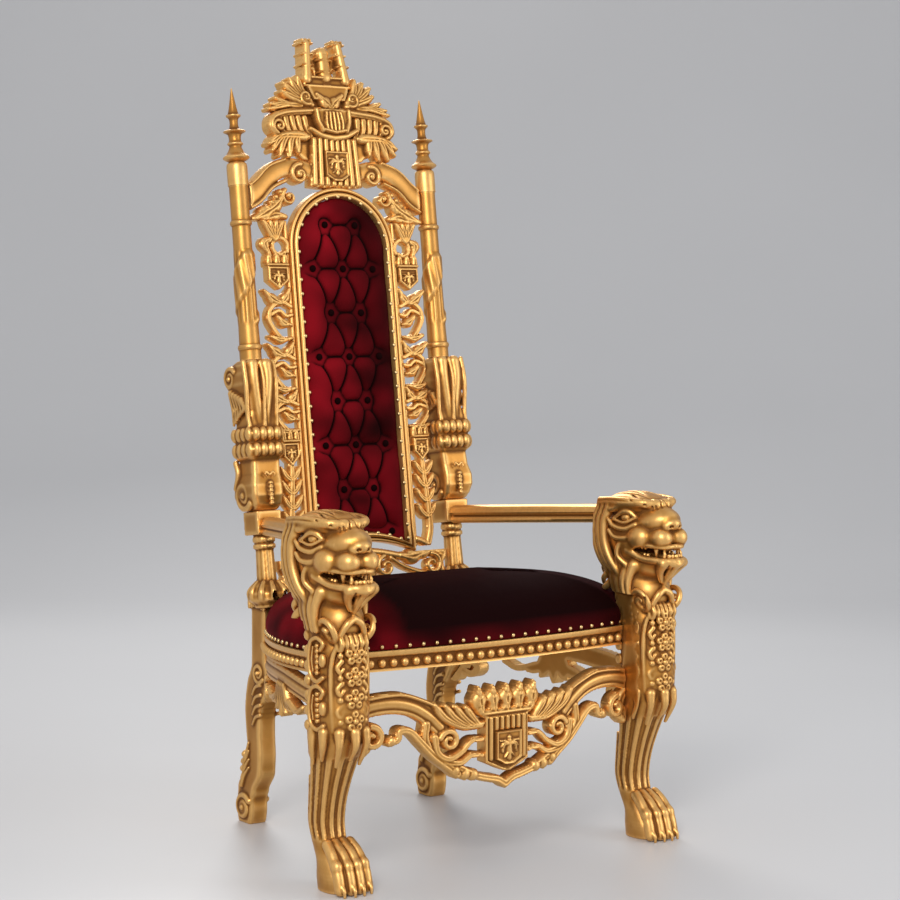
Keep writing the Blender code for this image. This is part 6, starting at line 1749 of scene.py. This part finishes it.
    @staticmethod
    def rear_leg(step: float) -> bpy.types.Mesh:
        """Sawn cabriole of the right side with a scroll foot, leaf collar, turned column and arm block."""
        foot_y, foot_z = CHAIR.back_foot_y, CHAIR.back_foot_z
        wood = Volume((0.214, foot_y - 0.075, -0.004), (0.318, foot_y + 0.112, 0.766), step)
        x, y, z = wood.axes
        up = z[0, 0]
        keys = through(REAR_LEG, 5)
        fronts, backs = (np.interp(up, keys[:, 0], keys[:, k]) for k in (1, 2))
        centre, depth = foot_y + 0.5 * (fronts + backs), 0.5 * (backs - fronts)
        off_x = np.abs(x - CHAIR.rear_leg_x) - 0.5 * CHAIR.rear_leg_thickness + 0.007
        off_y = np.abs(y - centre[None, None, :]) - depth[None, None, :] + 0.007
        box = np.hypot(np.maximum(off_x, 0.0), np.maximum(off_y, 0.0)) + np.minimum(np.maximum(off_x, off_y), 0.0) - 0.007
        box = np.maximum(box, z - 0.545)
        cos, sin = math.cos(CHAIR.back_rake), math.sin(CHAIR.back_rake)
        post = (z - foot_z) * cos + (y - foot_y) * sin
        behind = (y - foot_y) * cos - (z - foot_z) * sin
        turned = np.array((
            (-0.230, 0.036), (-0.214, 0.040), (-0.205, 0.050), (-0.188, 0.048), (-0.170, 0.036), (-0.160, 0.024),
            (-0.085, 0.0215), (-0.082, 0.027), (-0.074, 0.027), (-0.071, 0.022), (-0.066, 0.027), (-0.058, 0.027),
            (-0.053, 0.024), (-0.040, 0.024),
        ))
        radius = np.interp(post, turned[:, 0], turned[:, 1])
        axis_x = CHAIR.rear_leg_x + (CHAIR.post_x - CHAIR.rear_leg_x) * np.clip((post + 0.214) / 0.05, 0.0, 1.0)
        around = np.hypot(x - axis_x, behind) - radius + 0.0010 * np.clip(np.cos(12.0 * np.arctan2(behind, x - axis_x)), 0.0, 1.0)
        around = np.maximum(around, np.maximum(-0.222 - post, post + 0.045))
        half = CHAIR.arm_block_half
        block = np.maximum(np.maximum(np.abs(x - CHAIR.post_x) - half, np.abs(behind) - half),
                           np.maximum(-0.050 - post, post - CHAIR.console_bottom + 0.0005))
        wood.field = np.minimum(box, np.minimum(around, block)).astype(np.float32)
        for k in range(3):
            wood.ball((CHAIR.rear_leg_x, foot_y + 0.094 - 0.004 * k, 0.126 + 0.018 * k), (0.018, 0.010, 0.011), 0.0, 0.003)
        for x_at in (CHAIR.rear_leg_x - 0.026, CHAIR.rear_leg_x + 0.026):
            RearWood.scroll(wood, x_at - math.copysign(0.002, x_at - CHAIR.rear_leg_x), foot_y + 0.067, 0.038, 0.031, 1.0)
            wood.ball((x_at, foot_y + 0.067, 0.038), (0.004, 0.022, 0.022), 0.0, 0.001)
            RearWood.scroll(wood, x_at - math.copysign(0.002, x_at - CHAIR.rear_leg_x), foot_y - 0.008, 0.372, 0.024, -1.0)
            for k in range(4):
                z_at = 0.116 + 0.020 * k
                wood.rope([(x_at, foot_y + 0.074 - 0.004 * k, z_at - 0.026), (x_at, foot_y + 0.060 - 0.004 * k, z_at),
                           (x_at, foot_y + 0.040, z_at + 0.022)], 0.0050, 0.0028, 0.002)
                z_at = 0.345 - 0.024 * k
                wood.rope([(x_at, foot_y - 0.018, z_at), (x_at, foot_y + 0.004, z_at - 0.008),
                           (x_at, foot_y + 0.020, z_at - 0.028)], 0.0052, 0.0026, 0.002)
            for k in range(3):
                size = 0.014 + 0.011 * k
                arc = [(x_at, foot_y - 0.004 + size * math.cos(t), 0.536 + size * math.sin(t))
                       for t in np.linspace(-0.3, math.pi + 0.3, 9)]
                wood.rope(arc, 0.0042, 0.0042, 0.002)
        for k in range(10):
            turn = k * math.tau / 10
            spot = np.array([[0.044 * math.cos(turn), 0.044 * math.sin(turn), -0.197], [0.046 * math.cos(turn),
                             0.046 * math.sin(turn), -0.182], [0.030 * math.cos(turn), 0.030 * math.sin(turn), -0.162]])
            path = CHAIR.lean(spot) + np.array([CHAIR.rear_leg_x + 0.003, 0.0, 0.0])
            wood.rope([tuple(row) for row in path], 0.0095, 0.0045, 0.003)
        wood.field = np.maximum(wood.field, -z).astype(np.float32)
        low = (z > 0.40) & (z < 0.50)
        wood.field = np.where(low, np.maximum(wood.field, CHAIR.rear_leg_x - 0.0238 - x), wood.field)
        return wood.mesh("rear_leg", 70.0)


def leant(mesh: bpy.types.Mesh) -> bpy.types.Mesh:
    """Lay a mesh drawn in the back's frame onto its rake."""
    spots = np.array([vertex.co[:] for vertex in mesh.vertices])
    mesh.vertices.foreach_set("co", CHAIR.lean(spots).astype(np.float32).ravel())
    mesh.update()
    return mesh


class Studio:
    """Camera, lights and floor of the photograph."""

    def __init__(self, shop: Workshop) -> None:
        """Remember the workshop."""
        self.shop = shop

    def camera(self) -> None:
        """The photographer's place and lens."""
        data = bpy.data.cameras.new("camera")
        data.lens = 89.05
        data.sensor_width = 36.0
        made = bpy.data.objects.new("camera", data)
        made.location = (-2.9088, -4.2874, 1.2355)
        made.rotation_euler = (math.radians(90.0 - 3.67), 0.0, math.radians(-35.0))
        bpy.context.scene.collection.objects.link(made)
        bpy.context.scene.camera = made

    def light(self, name: str, spot: Point, aim: Point, size: float, power: float, colour: Point) -> None:
        """One soft box."""
        data = bpy.data.lights.new(name, "AREA")
        data.shape = "RECTANGLE"
        data.size = size
        data.size_y = 1.4 * size
        data.energy = power
        data.color = colour
        made = bpy.data.objects.new(name, data)
        made.location = spot
        made.rotation_euler = (Vector(aim) - Vector(spot)).to_track_quat("-Z", "Y").to_euler()
        bpy.context.scene.collection.objects.link(made)

    def lights(self) -> None:
        """Large key from the left front, fill from the right, and a rim."""
        aim = (0.0, 0.0, 0.9)
        self.light("key", (-3.4, -3.6, 3.6), aim, 1.8, 190.0, (1.0, 0.97, 0.93))
        self.light("fill", (3.2, -3.8, 1.8), aim, 2.4, 70.0, (0.95, 0.97, 1.0))
        self.light("rim", (1.6, 3.4, 3.4), aim, 1.6, 80.0, (1.0, 0.98, 0.95))

    def world(self) -> None:
        """Pale surroundings."""
        world = bpy.data.worlds.new("studio")
        world.use_nodes = True
        back = world.node_tree.nodes["Background"]
        back.inputs["Color"].default_value = (0.93, 0.94, 0.96, 1.0)
        back.inputs["Strength"].default_value = 0.75
        bpy.context.scene.world = world

    def floor(self) -> None:
        """Wide seamless sweep, which isn't part of the throne."""
        near, far, high, bend = -9.0, 4.0, 6.0, 3.0
        turn = np.linspace(0.0, 0.5 * math.pi, 24)
        curve = [(near, 0.0), *((far + bend * math.sin(t), bend - bend * math.cos(t)) for t in turn), (far + bend, high)]
        spots = np.array([(x, y, z) for x in (-12.0, 12.0) for y, z in curve])
        count = len(curve)
        faces = [(k, k + 1, k + 1 + count, k + count) for k in range(count - 1)]
        mesh = bpy.data.meshes.new("sweep")
        mesh.from_pydata(spots.tolist(), [], faces)
        mesh.transform(Matrix.Rotation(math.radians(-35.0), 4, "Z"))
        mesh.shade_smooth()
        mesh.materials.append(self.shop.paper)
        made = bpy.data.objects.new("floor", mesh)
        bpy.context.scene.collection.objects.link(made)

    def set_up(self) -> None:
        """Everything but the throne."""
        self.camera()
        self.lights()
        self.world()
        self.floor()
        bpy.context.scene.view_settings.view_transform = "Standard"


def main() -> None:
    """Dress the throne and set up its photograph."""
    logging.basicConfig(level=logging.INFO, format="%(message)s")
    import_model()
    shop = Workshop()
    back = Back(shop)
    back.crest()
    back.frets()
    back.lower_fret()
    back.frame()
    back.pad()
    back.columns()
    base = Base(shop)
    base.front_apron()
    base.side_aprons()
    base.rails()
    base.back_rail()
    base.arms()
    base.seat()
    base.both("lion_leg", Lion(0.0023).make(), "front_leg")
    base.both("console_carving", RearWood.console(0.0027), "console")
    base.both("rear_leg_carving", RearWood.rear_leg(0.0027), "rear_leg")
    Studio(shop).set_up()


if __name__ == "__main__":
    main()
